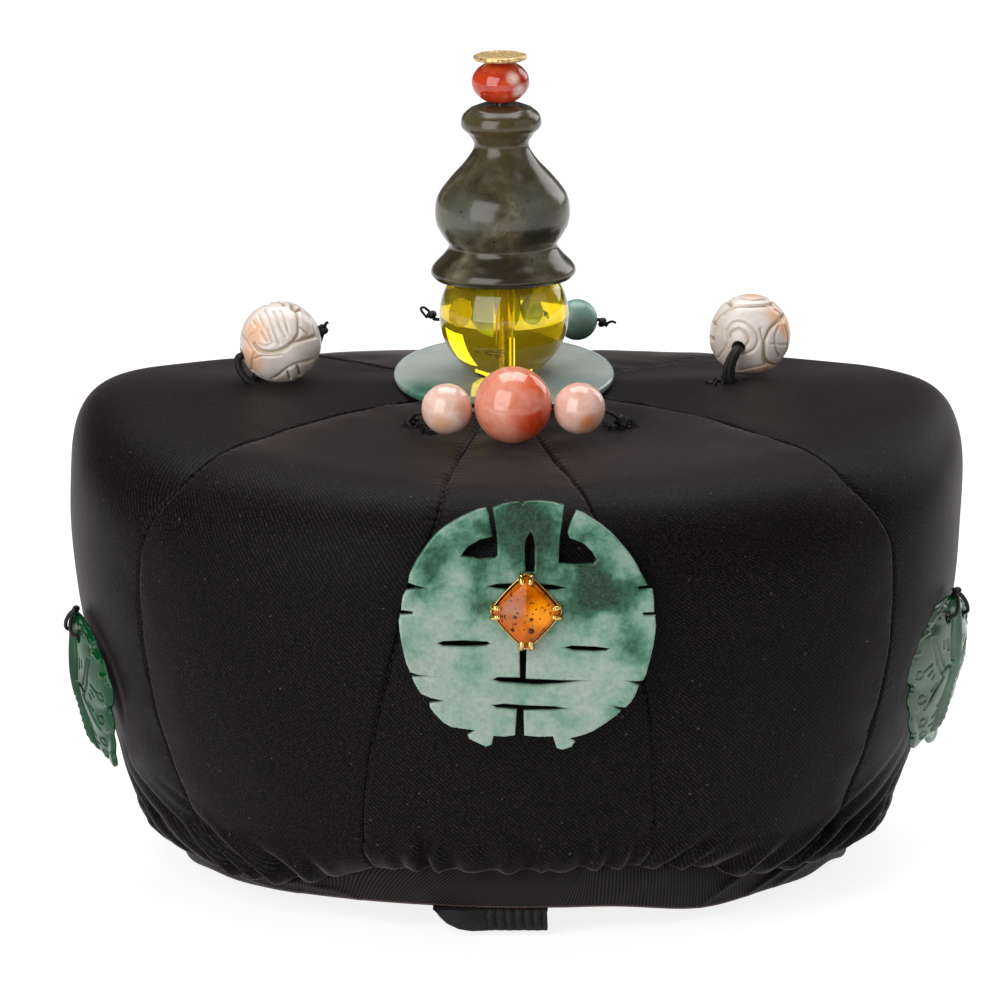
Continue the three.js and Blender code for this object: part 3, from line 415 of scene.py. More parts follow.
while place < 292:
    otherFolds.append((place, foldNumbers.uniform(8, 24),
                       0.35 * np.cos(np.radians(place)) + foldNumbers.normal(0, 0.12),
                       foldNumbers.uniform(0.6, 1.5), foldNumbers.uniform(1.4, 2.4)))
    place += foldNumbers.uniform(3.5, 8.0)
folds = np.array(frontFolds + otherFolds)


def foldDepth(az, rise, r):
    # how far the gathers pull the cloth in, with a soft swell on both sides of each
    depth = np.zeros_like(az)
    rise = np.maximum(rise - crown["tuck"], 0)
    for hemAz, reach, lean, deep, wide in folds:
        off = wrapped(az - hemAz - lean * rise) * np.pi / 180 * r
        fade = np.clip(1 - rise / reach, 0, 1) ** 1.3
        spread = wide * (1 + 0.5 * rise / reach)
        swell = np.exp(-((np.abs(off) - 2.3 * spread) / (1.3 * spread)) ** 2)
        depth += fade * deep * (np.exp(-(off / spread) ** 2) - 0.42 * swell)
    return depth


# where the cloth gives a little under what is pinned to it: centre, radius and depth
presses = [((2.9, -104, 88), 30, 0.4), ((-114, -35, 53), 19, 1.6), ((114, -38, 59), 20, 2.0)]


def pressedIn(points):
    press = np.zeros(points.shape[:-1])
    for centre, radius, depth in presses:
        far = np.linalg.norm(points - np.array(centre), axis=-1)
        press += depth * (1 - smoothStep(far, radius * 0.6, radius * 1.3))
    return press


def gorePiece(name, seams, looks):
    front = "front" in name or "side" in name
    step = crown["step"] if front else crown["backStep"]
    fine = np.linspace(crown["tipR"] / crownRows["flatR"][0], 4, crown["fineSteps"])
    az0, az1 = seamAz(seams[0], fine), seamAz(seams[1], fine)
    az1 = np.where(az1 < az0, az1 + 360, az1)
    middle = crownPoint((az0 + az1) / 2, fine)
    run = np.concatenate([[0], np.cumsum(np.linalg.norm(np.diff(middle, axis=0), axis=1))])
    rows = int(run[-1] / step)
    t = np.interp(np.linspace(0, run[-1], rows), run, fine)
    length = np.linspace(0, run[-1], rows)
    az0, az1 = seamAz(seams[0], t), seamAz(seams[1], t)
    az1 = np.where(az1 < az0, az1 + 360, az1)
    radius = np.hypot(*crownPoint((az0 + az1) / 2, t).T[:2])
    widest = ((az1 - az0) * np.pi / 180 * radius).max()
    cols = int(widest / step) + 6
    q = np.linspace(0, 1, cols)
    s = 0.3 * q + 0.7 * (0.5 - 0.5 * np.cos(np.pi * q))
    az = az0[:, None] + (az1 - az0)[:, None] * s[None]
    tt = np.repeat(t[:, None], cols, 1)
    base = crownPoint(az, tt)
    normal = crownNormal(az, tt)
    r = np.hypot(base[..., 0], base[..., 1])
    width = (az1 - az0)[:, None] * np.pi / 180 * r
    d0, d1 = s[None] * width, (1 - s[None]) * width
    edge = np.minimum(d0, d1)
    rise = run[-1] - np.repeat(length[:, None], cols, 1)
    fromTip = smoothStep(r, 8, 30)
    seamRun = length[:, None] + np.where(d0 < d1, 0, 300.0)
    dip = crown["seamDip"] * np.exp(-(edge / crown["seamRoll"]) ** 2) + crown["edgeDip"] * np.exp(-edge / 4.0)
    pucker = smoothNoise(seamRun / 7.0, edge / 12.0 + 9.3) * np.exp(-edge / 7.0) * crown["pucker"]
    puff = crown["puff"] * np.sin(np.pi * s[None]) ** 0.7 * fromTip
    soft = crown["swell"] * smoothNoise(base[..., 0] / 21 + 40, base[..., 2] / 21 + base[..., 1] / 27)
    soft = soft * smoothStep(edge, 2, 14)
    gather = crown["foldGain"] * foldDepth(az, rise, r) * (0.3 + 0.7 * smoothStep(rise, 0, 7))
    out = (puff + soft * fromTip - (dip + pucker) * fromTip - gather - pressedIn(base)) * smoothStep(rise, -6, 4)
    outer = base + normal * out[..., None] + headAxis
    # a coarser lining inside, further in near the ribbon
    keep = np.linspace(0, cols - 1, max(4, cols // crown["lining"])).astype(int)
    keepRows = np.linspace(0, rows - 1, max(8, rows // crown["lining"])).astype(int)
    wall = crown["wall"] + crown["hemWall"] * smoothStep(-rise, -34, -8)
    inner = (base - normal * wall[..., None])[np.ix_(keepRows, keep)] + headAxis
    faces, places = gridFaces(rows, cols)
    back, _ = gridFaces(len(keepRows), len(keep))
    uvGrid = np.stack([(s[None] - 0.5) * width, -np.repeat(length[:, None], cols, 1)], 2).reshape(-1, 2)
    innerUv = uvGrid.reshape(rows, cols, 2)[np.ix_(keepRows, keep)].reshape(-1, 2)
    points = np.vstack([outer.reshape(-1, 3), inner.reshape(-1, 3)])
    allFaces = faces.tolist() + (back[:, ::-1] + rows * cols).tolist()
    uv = np.vstack([uvGrid[places].reshape(-1, 2), innerUv[back[:, ::-1]].reshape(-1, 2)])
    marks = {"seamEdge": np.concatenate([edge.ravel(), np.full(inner.shape[0] * inner.shape[1], 9.0)])}
    obj = meshOf(name + "_cloth", points, allFaces, uv, marks=marks)
    look = "satinBack" if "back" in name else "satinFront" if "front" in name else "satin"
    asPiece(tidyMesh(obj, bridge=True), looks[look], "satin", name)


# ribbon round the head
ribbon = {
    "rise": 7.8, "fullAz": 10, "endAz": 100, "wall": 2.1, "belly": 0.6, "lap": 1.4, "step": 0.6, "rows": 34,
    "ribPitch": 1.0, "meanR": 95, "front": -90.6, "endTop": 7.5, "depth": 13.5, "loop": (-22.4, -7.6),
    "tail": (-8.0, 8.2),
    "pleat": 2.5, "tailSteps": 220,
}
# creases of the ribbon: line in azimuth and share of its height, width in millimetres and how far it stands out
bandCreases = [
    ([(-64, 0.9), (-52, 0.55), (-44, 0.2), (-38, 0.02)], 1.1, 1.3),
    ([(-58, 0.5), (-47, 0.75), (-38, 0.62), (-30, 0.3), (-26, 0.05)], 1.0, 1.1),
    ([(-46, 0.95), (-36, 0.8), (-27, 0.9)], 0.9, 0.8),
    ([(31, 0.05), (35, 0.45), (40, 0.8), (46, 0.95)], 1.0, 1.0),
    ([(41, 0.1), (46, 0.5), (52, 0.8), (60, 0.9)], 0.9, 1.2),
    ([(48, 0.1), (54, 0.45), (62, 0.7)], 0.9, 1.0),
    ([(8, 0.0), (16, 0.35), (24, 0.9)], 2.4, 0.5),
    ([(-24, 0.1), (-10, 0.45), (0, 0.6), (9, 0.5)], 2.6, 0.4),
]

# where the lower edge hangs or lifts: azimuth, width and drop
bandDroops = [(31, 12, 3.0), (-64, 8, -0.8), (68, 8, -2.0)]


def bandLow(az):
    az = wrapped(az)
    droop = sum(high * np.exp(-((az - middle) / wide) ** 2) for middle, wide, high in bandDroops)
    return ribbon["rise"] * (1 - smoothStep(np.abs(az), ribbon["fullAz"], ribbon["endAz"])) - droop


def bandPiece(cloth):
    around = int(2 * np.pi * ribbon["meanR"] / ribbon["step"])
    az = np.linspace(-180, 180, around + 1)
    share = np.linspace(0, 1, ribbon["rows"])
    azGrid, shareGrid = np.meshgrid(az, share)
    low = bandLow(azGrid)
    top = hemAt("z", azGrid) + ribbon["lap"]
    top = top + 0.35 * smoothNoise(azGrid / 2.1, azGrid * 0 + 3.5)
    z = low + (top - low) * shareGrid
    arc = azGrid * np.pi / 180 * ribbon["meanR"]
    flat = np.stack([arc, z, np.zeros_like(z)], -1).reshape(-1, 3)
    lift = np.zeros(flat.shape[0])
    for line, wide, high in bandCreases:
        route = np.array([
            [a * np.pi / 180 * ribbon["meanR"], bandLow(a) + (hemAt("z", a) - bandLow(a)) * f, 0] for a, f in line])
        lift += high * np.exp(-(lineDistance(flat, smoothLine(route, 8)) / wide) ** 2)
    lift = lift.reshape(z.shape) * np.sin(np.pi * np.clip(shareGrid, 0.04, 0.96)) ** 0.4
    wave = 0.35 * smoothNoise(azGrid / 7 + 5, shareGrid * 2.2)
    r = bandR(azGrid) + ribbon["belly"] * np.sin(np.pi * shareGrid) + lift + wave * np.sin(np.pi * shareGrid)
    a = np.radians(azGrid)
    outer = np.stack([r * np.sin(a), -r * np.cos(a), z], -1) + headAxis
    rIn = bandR(azGrid) - ribbon["wall"]
    inner = np.stack([rIn * np.sin(a), -rIn * np.cos(a), z], -1) + headAxis
    # the ribs lean where the ribbon is stretched over the front
    lean = np.interp(azGrid, [-60, -30, -20, -6, 4, 12, 60], [0.5, -0.1, -0.7, -1.15, -0.9, -0.1, 0.2])
    uvOuter = np.stack([arc + lean * (z - low), z - low], -1)
    loop = np.concatenate([outer, inner[::-1][::8]], 0)
    uvLoop = np.concatenate([uvOuter, uvOuter[::-1][::8]], 0)
    loop = np.concatenate([loop, loop[:1]], 0)
    uvLoop = np.concatenate([uvLoop, uvLoop[:1]], 0)
    rows = loop.shape[0]
    faces, places = gridFaces(rows, around + 1, wrap=True)
    obj = meshOf("headband_ribbon", loop[:, :-1].reshape(-1, 3), faces, uvLoop.reshape(-1, 2)[places])
    tidyMesh(obj, 0.002)
    return asPiece(obj, cloth, "ribbon", "headband")


def ribbonEnd(cloth):
    # a plain loop folded under the front, and the pleated tail that comes out of it
    front, top, depth, steps = (ribbon[k] for k in ("front", "endTop", "depth", "tailSteps"))
    start, end = ribbon["loop"]
    across = np.linspace(start, end, 60)
    low = np.interp(across, [start, -20.5, -18.6, -15.5, -12, end], [7.4, 4.6, 2.6, 0.9, 0.15, 0.1])
    profile = []
    for x, z0 in zip(across, low):
        bow = 1.3 * np.sin(np.pi * (x - start) / (end - start))
        section = [(front - bow, top), (front - 0.9 - bow, z0 + (top - z0) * 0.5), (front - 0.3 - bow, z0 + 0.3),
                   (front + 0.8, z0), (front + depth, z0), (front + depth + 0.7, top), (front - bow, top)]
        line = np.vstack([smoothLine(section[:4], 6)[:-1], np.array(section[3:])])
        profile.append(np.column_stack([np.full(len(line), x), line]))
    grid = np.array(profile)
    last = (len(across) - 1) * grid.shape[1]
    caps = [list(range(grid.shape[1] - 1)), [last + k for k in range(grid.shape[1] - 1)]]
    ribbonPart("ribbon_fold", grid, 0.82, caps, cloth, "ribbon_loop")
    start, end = ribbon["tail"]
    across = np.linspace(start, end, steps)
    pleat = np.abs(np.sin(np.pi * (across - start) / ribbon["pleat"])) ** 0.7
    rows = []
    for z, out in [(top, 0.55), (6.4, 0.9), (4.4, 1.0), (2.2, 1.0), (0.9, 0.8), (0.25, 0.4), (0.0, 0.0)]:
        sway = 0.25 * np.sin(across * 0.9 + z * 0.35)
        y = front - 0.2 - out * (0.35 + 0.75 * pleat) + sway * 0.3
        rows.append(np.column_stack([across + 0.25 * np.sin(z), y, np.full(steps, z + 0.12 * (1 - pleat))]))
    for y, z in ((front + depth, 0.02), (front + depth + 0.5, top)):
        rows.append(np.column_stack([across, np.full(steps, y), np.full(steps, z)]))
    rows.append(rows[0])
    caps = [[k * steps + side for k in range(len(rows) - 1)] for side in (0, steps - 1)]
    ribbonPart("ribbon_pleats", np.array(rows), 0.8, caps, cloth, "ribbon_tail")


def ribbonPart(name, grid, share, caps, cloth, node):
    # a closed sheet, drawn up to a share of its height under the band
    grid[..., 2] = ribbon["endTop"] - (ribbon["endTop"] - grid[..., 2]) * share
    faces, _ = gridFaces(*grid.shape[:2])
    asPiece(tidyMesh(meshOf(name, grid.reshape(-1, 3), faces.tolist() + caps), 0.01), cloth, "ribbon", node)


# stack on the top
stack = {
    "ballR": 17.8, "boreR": 1.9, "lean": -0.85, "discR": 30.25, "discHole": 7.6, "discHalf": 1.1, "discTilt": 7.4,
    "beadR": 7.95, "beadHalf": 6.0, "capR": 7.35, "capThick": 1.5,
}
finialRows = [
    (18.9, 10.6), (19.9, 12.0), (19.2, 14.0), (16.2, 17.2), (14.9, 19.7), (16.4, 22.2), (18.1, 25.6), (18.5, 29.3),
    (17.6, 33.6), (14.0, 38.5), (9.9, 43.0), (7.5, 47.2), (8.8, 50.2), (10.7, 52.2), (11.05, 53.8), (10.4, 55.8),
    (8.4, 57.6), (5.6, 58.6), (1.7, 58.6),
]


def centreOf(node):
    low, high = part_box(node)
    return np.array((low + high) / 2) / mm


def beadProfile(r, halfHeight, holeR, rows=48, lip=0.25):
    start = math.asin((holeR + lip) / r)
    a = np.linspace(start, np.pi - start, rows)
    outer = np.column_stack([r * np.sin(a), -halfHeight * np.cos(a)])
    top = outer[-1, 1]
    bore = [(holeR + 0.06, top + 0.03), (holeR, top - lip), (holeR, -top + lip), (holeR + 0.06, -top - 0.03)]
    return np.vstack([outer, bore, outer[:1]])


def topStack(looks):
    lean = math.radians(stack["lean"])
    up = np.array([math.sin(lean), 0, math.cos(lean)])
    ball = np.array([-3.3, 4.41, 150.94])
    tilt = math.radians(stack["discTilt"])
    discUp = (0, -math.sin(tilt), math.cos(tilt))
    r, h, hole = stack["discR"], stack["discHalf"], stack["discHole"]
    profile = [
        (hole + 0.3, -h), (r - 1.0, -h), (r - 0.35, -h + 0.12), (r, -h + 0.55), (r, 0.35), (r - 0.12, h - 0.3),
        (r - 0.9, h - 0.02), (r - 3.0, h), (hole + 0.8, h), (hole + 0.2, h - 0.12), (hole, h - 0.5),
        (hole, -h + 0.3), (hole + 0.3, -h)]
    disc = turnedPiece("disc_polished", profile, centreOf("jade_disc"), discUp, 160)
    asPiece(disc, looks["paleJade"], "pale_jade", "jade_disc")
    profile = beadProfile(stack["ballR"], stack["ballR"], stack["boreR"], 72)
    asPiece(turnedPiece("ball_polished", profile, ball, up, 112), looks["clearAmber"], "clear_amber", "amber_ball")
    # a round inner crack and a few brown flecks in the amber
    points, faces = ballParts((0, 0, 0), 3.4, 12, 40)
    turn = np.array(Vector((0, 0, 1)).rotation_difference(Vector((-0.62, -0.7, 0.36))).to_matrix())
    crack = (points * (1, 1, 0.05)) @ turn.T + ball + np.array((-9.8, -5.5, 1.4))
    asPiece(joinedParts("ball_crack", [(crack, faces)]), looks["amberCrack"], "clear_amber")
    chance = np.random.default_rng(21)
    parts = []
    for _ in range(16):
        points, faces = ballParts((0, 0, 0), 1, 6, 8)
        spot = ball + np.array((-2.6, -11.5, -7.2)) + chance.normal(0, 1, 3) * (2.3, 1.2, 0.7)
        parts.append((points * chance.uniform(0.25, 0.8, 3) * (1.4, 1, 0.7) + spot, faces))
    asPiece(joinedParts("ball_flecks", parts), looks["amberFleck"], "clear_amber")
    outer = smoothLine(finialRows[:-2], 7)
    clear = stack["ballR"] + 0.3
    rim = math.acos(finialRows[0][1] / clear)
    under = [(clear * math.sin(a), clear * math.cos(a)) for a in np.linspace(math.asin(1.7 / clear), rim - 0.02,
        20)]
    profile = np.vstack([outer, [(5.6, 58.62), (1.9, 58.62), (1.7, 58.4)], under, outer[:1]])
    asPiece(turnedPiece("finial_polished", profile, ball, up, 128), looks["darkJade"], "dark_jade", "jade_finial")
    profile = beadProfile(stack["beadR"], stack["beadHalf"], 1.7)
    bead = turnedPiece("cap_bead_polished", profile, centreOf("coral_cap_bead"), up, 72)
    asPiece(bead, looks["redCoral"], "red_coral", "coral_cap_bead")
    capR = stack["capR"]
    half = stack["capThick"] / 2
    profile = [(0, -half), (capR - 0.6, -half), (capR - 0.1, -0.45), (capR, 0.1), (capR - 0.25, 0.55),
               (capR - 0.9, 0.72), (capR - 1.5, 0.5), (capR - 2.3, 0.5), (2.4, 0.62), (1.6, 0.7), (0, half)]

    def hammered(p):
        x, y = p[:, 0], p[:, 1]
        dents = [smoothNoise(x * 1.3, y * 1.3), smoothNoise(y * 1.4, x * 1.2), smoothNoise(x * 1.1 + 9, y * 1.1)]
        return p + 0.1 * np.stack(dents, 1), {}

    cap = turnedPiece("cap_gilded", profile, centreOf("gilt_cap"), up, 72, hammered)
    asPiece(cap, looks["gilt"], "gilt", "gilt_cap")


def beadRows(looks):
    lay = {
        "coral_bead_left": (6.9, (0.988, 0, 0.155), "paleCoralLeft", "pale_coral"),
        "coral_bead_centre": (10.5, (1, 0, 0), "pinkCoral", "pink_coral"),
        "coral_bead_right": (7.0, (0.992, 0, -0.126), "paleCoralRight", "pale_coral"),
        "teal_bead_left": (5.8, (1, 0, 0), "tealStone", "teal_stone"),
        "teal_bead_centre": (10.0, (1, 0, 0), "tealStone", "teal_stone"),
        "teal_bead_right": (5.8, (1, 0, 0), "tealStone", "teal_stone"),
    }
    for node, (r, axis, look, slotName) in lay.items():
        shape = beadProfile(r, r, 1.05)
        asPiece(turnedPiece(node + "_polished", shape, centreOf(node), axis, 80), looks[look], slotName, node)


# carved beads: each groove is drawn as the camera sees it, x to the right and y up, in radii
carvedBeads = {
    "radius": 11.25, "bore": 1.9, "left": {
        "centre": (-64.9, 8.0, 142.37), "axis": (-0.9296, -0.2399, -0.2799),
        "grooves": [
            ([(0.36, 0.86), (0.47, 0.43), (0.46, 0.17), (0.28, -0.07), (0.04, -0.22), (-0.23, -0.27),
              (-0.49, -0.21), (-0.63, -0.06)], 0.045, 0.075),
            ([(0.87, 0.14), (0.63, 0.06), (0.37, -0.02), (0.25, -0.08)], 0.045, 0.075),
            ([(-0.15, -0.9), (0.16, -0.69), (0.46, -0.53), (0.84, -0.42)], 0.04, 0.07),
            ([(-0.6, -0.42), (-0.45, -0.36), (-0.2, -0.36), (0.05, -0.33)], 0.03, 0.03),
            ([(-0.53, 0.66), (-0.37, 0.33)], 0.03, 0.04),
            ([(-0.39, 0.8), (-0.16, 0.33), (0.0, -0.05)], 0.03, 0.045),
            ([(-0.16, 0.75), (0.04, 0.33), (0.16, 0.12)], 0.03, 0.045),
            ([(0.03, 0.76), (0.23, 0.26)], 0.03, 0.04), ([(-0.46, 0.28), (-0.3, 0.02)], 0.026, 0.04),
            ([(-0.3, 0.33), (-0.16, -0.02)], 0.026, 0.04),
            ([(-0.5, -0.05), (-0.35, -0.11), (-0.2, -0.06)], 0.024, 0.03),
            ([(-0.66, 0.5), (-0.55, 0.3), (-0.78, 0.12)], 0.03, 0.035), ([(0.04, 1.0), (0.1, 0.9)], 0.04, 0.09),
            ([(0.3, 0.95), (0.33, 0.78), (0.52, 0.8)], 0.045, 0.1), ([(0.52, 0.36), (0.72, 0.16)], 0.03, 0.06),
            ([(0.75, 0.62), (0.84, 0.3), (0.9, 0.12)], 0.03, 0.06),
            ([(-0.95, 0.25), (-0.8, 0.0), (-0.66, -0.35), (-0.7, -0.7)], 0.035, 0.05),
            ([(0.2, -0.74), (0.26, -0.9)], 0.03, 0.06), ([(0.44, -0.6), (0.5, -0.82)], 0.035, 0.07),
            ([(-0.6, -0.28), (-0.72, -0.6), (-0.5, -0.85)], 0.03, 0.03),
        ],
        "patches": [((-0.62, 0.22), 0.34, 0.16), ((-0.72, -0.42), 0.36, 0.16)],
    },
    "right": {
        "centre": (64.6, 19.5, 142.14), "axis": (-0.301, -0.9432, -0.1405),
        "grooves": [
            ([(-0.59, 0.1), (-0.45, 0.28), (-0.24, 0.31), (-0.03, 0.21), (0.14, 0.0), (0.17, -0.21), (0.03, -0.43),
              (-0.24, -0.52)], 0.035, 0.045),
            ([(-0.52, -0.07), (-0.45, 0.07), (-0.28, 0.12), (-0.1, 0.0), (-0.05, -0.19), (-0.16, -0.33)], 0.035,
             0.045),
            ([(-0.88, 0.3), (-0.61, 0.57), (-0.31, 0.68), (0.03, 0.69), (0.38, 0.71), (0.56, 0.8)], 0.04, 0.075),
            ([(-0.3, 0.9), (0.05, 0.84), (0.4, 0.86)], 0.03, 0.05),
            ([(0.8, 0.4), (0.52, 0.17), (0.37, -0.12), (0.35, -0.38), (0.4, -0.66), (0.61, -0.77)], 0.042, 0.08),
            ([(0.24, 0.12), (0.31, -0.24), (0.31, -0.56), (0.38, -0.76)], 0.03, 0.05),
            ([(0.7, 0.2), (0.6, -0.08), (0.64, -0.38), (0.72, -0.56)], 0.03, 0.05),
            ([(0.86, 0.2), (0.92, -0.2), (0.85, -0.48)], 0.03, 0.05), ([(0.5, -0.24), (0.9, -0.26)], 0.02, 0.03),
            ([(0.6, 0.62), (0.75, 0.5), (0.62, 0.3)], 0.03, 0.05),
            ([(-0.4, -0.88), (0.03, -0.84), (0.4, -0.74)], 0.035, 0.06),
            ([(-0.55, 0.84), (-0.48, 0.7)], 0.04, 0.09), ([(-0.98, 0.3), (-0.86, 0.26)], 0.04, 0.09),
            ([(-1.0, -0.08), (-0.9, -0.12)], 0.04, 0.09), ([(0.55, 0.84), (0.52, 0.72)], 0.04, 0.1),
            ([(0.84, 0.5), (0.76, 0.4)], 0.04, 0.1), ([(-0.92, 0.0), (-0.78, 0.3), (-0.62, 0.5)], 0.028, 0.04),
            ([(-0.8, -0.6), (-0.6, -0.3), (-0.6, 0.05)], 0.028, 0.03),
        ],
        "patches": [((0.66, 0.44), 0.3, 0.16), ((0.9, 0.14), 0.3, 0.14), ((0.35, -0.9), 0.35, 0.14),
                    ((0.05, 0.97), 0.22, 0.12)],
    },
}
viewTilt = math.radians(studio["elevation"])
viewRight = np.array([1.0, 0, 0])
viewUp = np.array([0, math.sin(viewTilt), math.cos(viewTilt)])
viewOut = np.array([0, -math.cos(viewTilt), math.sin(viewTilt)])


def seenPoint(x, y):
    length = math.hypot(x, y)
    if length > 0.985:
        x, y = x * 0.985 / length, y * 0.985 / length
    return viewRight * x + viewUp * y + viewOut * math.sqrt(1 - x * x - y * y)


def carvedBead(side, spec, coral):
    r = carvedBeads["radius"]
    axis = np.array(spec["axis"])
    turn = np.array(Vector((0, 0, 1)).rotation_difference(Vector(axis)).to_matrix())
    backTurn = np.diag([-1.0, -1.0, 1.0])

    def carve(local):
        world = local @ turn.T / r
        deep = np.zeros(len(local))
        for flip in (np.eye(3), backTurn):
            for line, wide, depth in spec["grooves"]:
                route = smoothLine([seenPoint(*p) for p in line], 6) @ flip.T
                route /= np.linalg.norm(route, axis=1)[:, None]
                far = lineDistance(world, route)
                deep = np.maximum(deep, depth * np.exp(-(far / wide) ** 2))
        onSkin = smoothStep(np.linalg.norm(world, axis=1), 0.9, 0.96)
        swell = 0.012 * smoothNoise(world[:, 0] * 3 + 8, world[:, 2] * 3 + world[:, 1] * 2)
        return local * (1 - (deep - swell) * onSkin)[:, None], {"cut": deep * onSkin / 0.08}

    profile = beadProfile(r, r, carvedBeads["bore"], 150)
    obj = turnedPiece("carved_" + side, profile, spec["centre"], axis, 260, carve)
    asPiece(obj, coral, "carved_coral", "carved_bead_" + side)


# pierced roundel, its stone and claws; the outline and the slots are in millimetres on its face
medallion = {
    "origin": (2.9, -106.83, 90.93), "lean": 5.5, "thick": 3.6, "edge": 0.6, "rimR": 32.5, "stone": (-0.4, 2.9),
    "halfU": 8.9, "halfV": 9.5, "plate": 3.9, "sides": 96, "outline": [
        (-2.2, 31.8), (-1.7, 31.1), (-1.1, 31.8), (2.4, 32), (6.8, 31.6), (9.6, 30.8), (9.1, 26.1),
        (8.5, 22.2), (8.2, 15.5), (12.1, 15.1), (17.3, 15.4), (18.1, 16.4), (17, 18.5), (14.9, 20.6),
        (11, 22.2), (10.5, 23.8), (11.5, 26.9), (12.9, 29.5), (17.3, 27.2), (21.7, 23.9), (25.7, 19.5),
        (28.3, 15.9), (30.1, 12.4), (31.7, 9.6), (29.1, 9.2), (29.5, 8.6), (33, 8.5), (33.4, 5.7),
        (33.4, 2.5), (30.5, 2.3), (30.7, 1.7), (33.7, 1.6), (33.9, -1.3), (33.2, -6.7), (31.9, -12),
        (30.5, -15.8), (26.8, -15.9), (29.5, -17.1), (28.3, -20), (25.9, -23), (22.8, -22.7),
        (24.7, -23.8), (21.7, -26.4), (17.3, -29.3), (13.8, -30.6), (11.4, -31.2), (12.6, -32),
        (11.6, -33.5), (9.2, -34.3), (7.7, -33.8), (6.7, -30.7), (-0.9, -30.5), (-1.1, -23.7),
        (6.8, -23.6), (10.3, -23.2), (7.2, -22.7), (-1.1, -22.4), (-6, -22), (-9.2, -22.3), (-8.2, -23),
        (-2.8, -23.5), (-3.3, -30.4), (-9, -30.6), (-9.5, -32.9), (-11, -33.5), (-15.4, -31.4),
        (-15.9, -30.3), (-14, -29.1), (-20.3, -28.2), (-23.5, -25.8), (-25.8, -23), (-26, -21.8),
        (-22.4, -21.2), (-25.8, -20.4), (-28.1, -19.4), (-30.1, -16.1), (-30.6, -14.8), (-27, -14.5),
        (-31, -13.6), (-32.8, -8.4), (-33.9, -2.2), (-33.7, 1.8), (-30.4, 2), (-30.4, 2.6), (-33.4, 3),
        (-33.3, 4.9), (-32.1, 8.3), (-27, 8.9), (-31.5, 10.3), (-30.2, 14.6), (-27.5, 19.1), (-24, 23.5),
        (-19.6, 26.6), (-15.2, 28.8), (-11, 30.1), (-9.9, 26.5), (-9.4, 23.5), (-9.2, 22.5), (-12.6, 21.7),
        (-15.9, 19.8), (-17.6, 17.4), (-13.9, 16.8), (-13, 16.4), (-8.6, 16.9), (-8, 17.6), (-8.1, 21.7),
        (-8.5, 25.3), (-9.3, 30.2), (-6.4, 31.3),
    ],
    "slots": [
        [(0.8, 23.7), (-0.3, 22.1), (-0.7, 19.9), (-0.6, 13), (1.7, 13), (1.8, 19.9), (1.4, 22.6)],
        [(-10.3, 9.3), (-8.2, 9.9), (-3.8, 10.1), (6.8, 9.7), (9.8, 9), (7.7, 8.4), (-3.8, 8.4),
         (-8.2, 8.8)],
        [(-23.7, -5.8), (-22.3, -5.3), (-17, -5.1), (-10.6, -5.4), (-9.9, -6), (-11.2, -6.5), (-17, -6.7),
         (-22.3, -6.5)],
        [(9.8, -6.9), (11.6, -6.5), (17.3, -6.7), (21.5, -7.2), (20.9, -7.8), (17.3, -8), (12.1, -7.7)],
        [(-9.1, -15.5), (-8, -14.9), (-2, -15), (-2.1, -7.6), (-0.3, -7.6), (-0.5, -15.3), (9, -15.7),
         (14.2, -15.8), (9, -16.5), (3.3, -16.9), (-1.1, -16.7), (-7.1, -16.2)],
    ],
}


def medallionFrame():
    lean = math.radians(medallion["lean"])
    return (np.array(medallion["origin"]), np.array([1.0, 0, 0]), np.array([0, math.sin(lean), math.cos(lean)]),
            np.array([0, -math.cos(lean), math.sin(lean)]))


def roundelPiece(jade):
    # a flat plate with rounded edges, filled between the outline and the slots
    curve = bpy.data.curves.new("roundel outline", "CURVE")
    curve.dimensions = "2D"
    curve.fill_mode = "BOTH"
    edge = medallion["edge"]
    curve.extrude = (medallion["thick"] / 2 - edge) * mm
    curve.bevel_depth = edge * mm
    curve.bevel_resolution = 3
    curve.offset = -edge * mm
    for line in [medallion["outline"]] + medallion["slots"]:
        p = np.array(line, float)
        fine = []
        for k in range(len(p)):
            a, b, c, d = p[k - 1], p[k], p[(k + 1) % len(p)], p[(k + 2) % len(p)]
            fine.append(b)
            if np.linalg.norm(c - b) > 3.5:
                onRim = abs(np.hypot(*(b + c) / 2) - medallion["rimR"]) < 2.5
                fine.append((-a + 9 * b + 9 * c - d) / 16 if onRim else (b + c) / 2)
        spline = curve.splines.new("POLY")
        spline.points.add(len(fine) - 1)
        spline.points.foreach_set("co", np.column_stack([np.array(fine) * mm, np.zeros(len(fine)),
            np.ones(len(fine))]).ravel())
        spline.use_cyclic_u = True
    flat = inScene("roundel outline", curve)
    mesh = bpy.data.meshes.new_from_object(flat.evaluated_get(bpy.context.evaluated_depsgraph_get()))
    bpy.data.objects.remove(flat)
    origin, axisU, axisV, out = medallionFrame()
    turn = Matrix.Identity(4)
    for column, axis in enumerate((axisU, axisV, out)):
        for row in range(3):
            turn[row][column] = axis[row]
    turn.translation = Vector((origin + out * (0.3 + medallion["thick"] / 2)) * mm)
    mesh.transform(turn)
    obj = tidyMesh(inScene("roundel_polished", mesh), 0.01)
    height = [(np.array(v.co) / mm - origin) @ out for v in mesh.vertices]
    onFace = [min(abs(h - min(height)), abs(h - max(height))) < 0.01 for h in height]
    mesh.set_sharp_from_angle(angle=math.radians(50))
    mesh.polygons.foreach_set("use_smooth", [not all(onFace[v] for v in p.vertices) for p in mesh.polygons])
    asPiece(obj, jade, "mottled_jade", "jade_medallion")


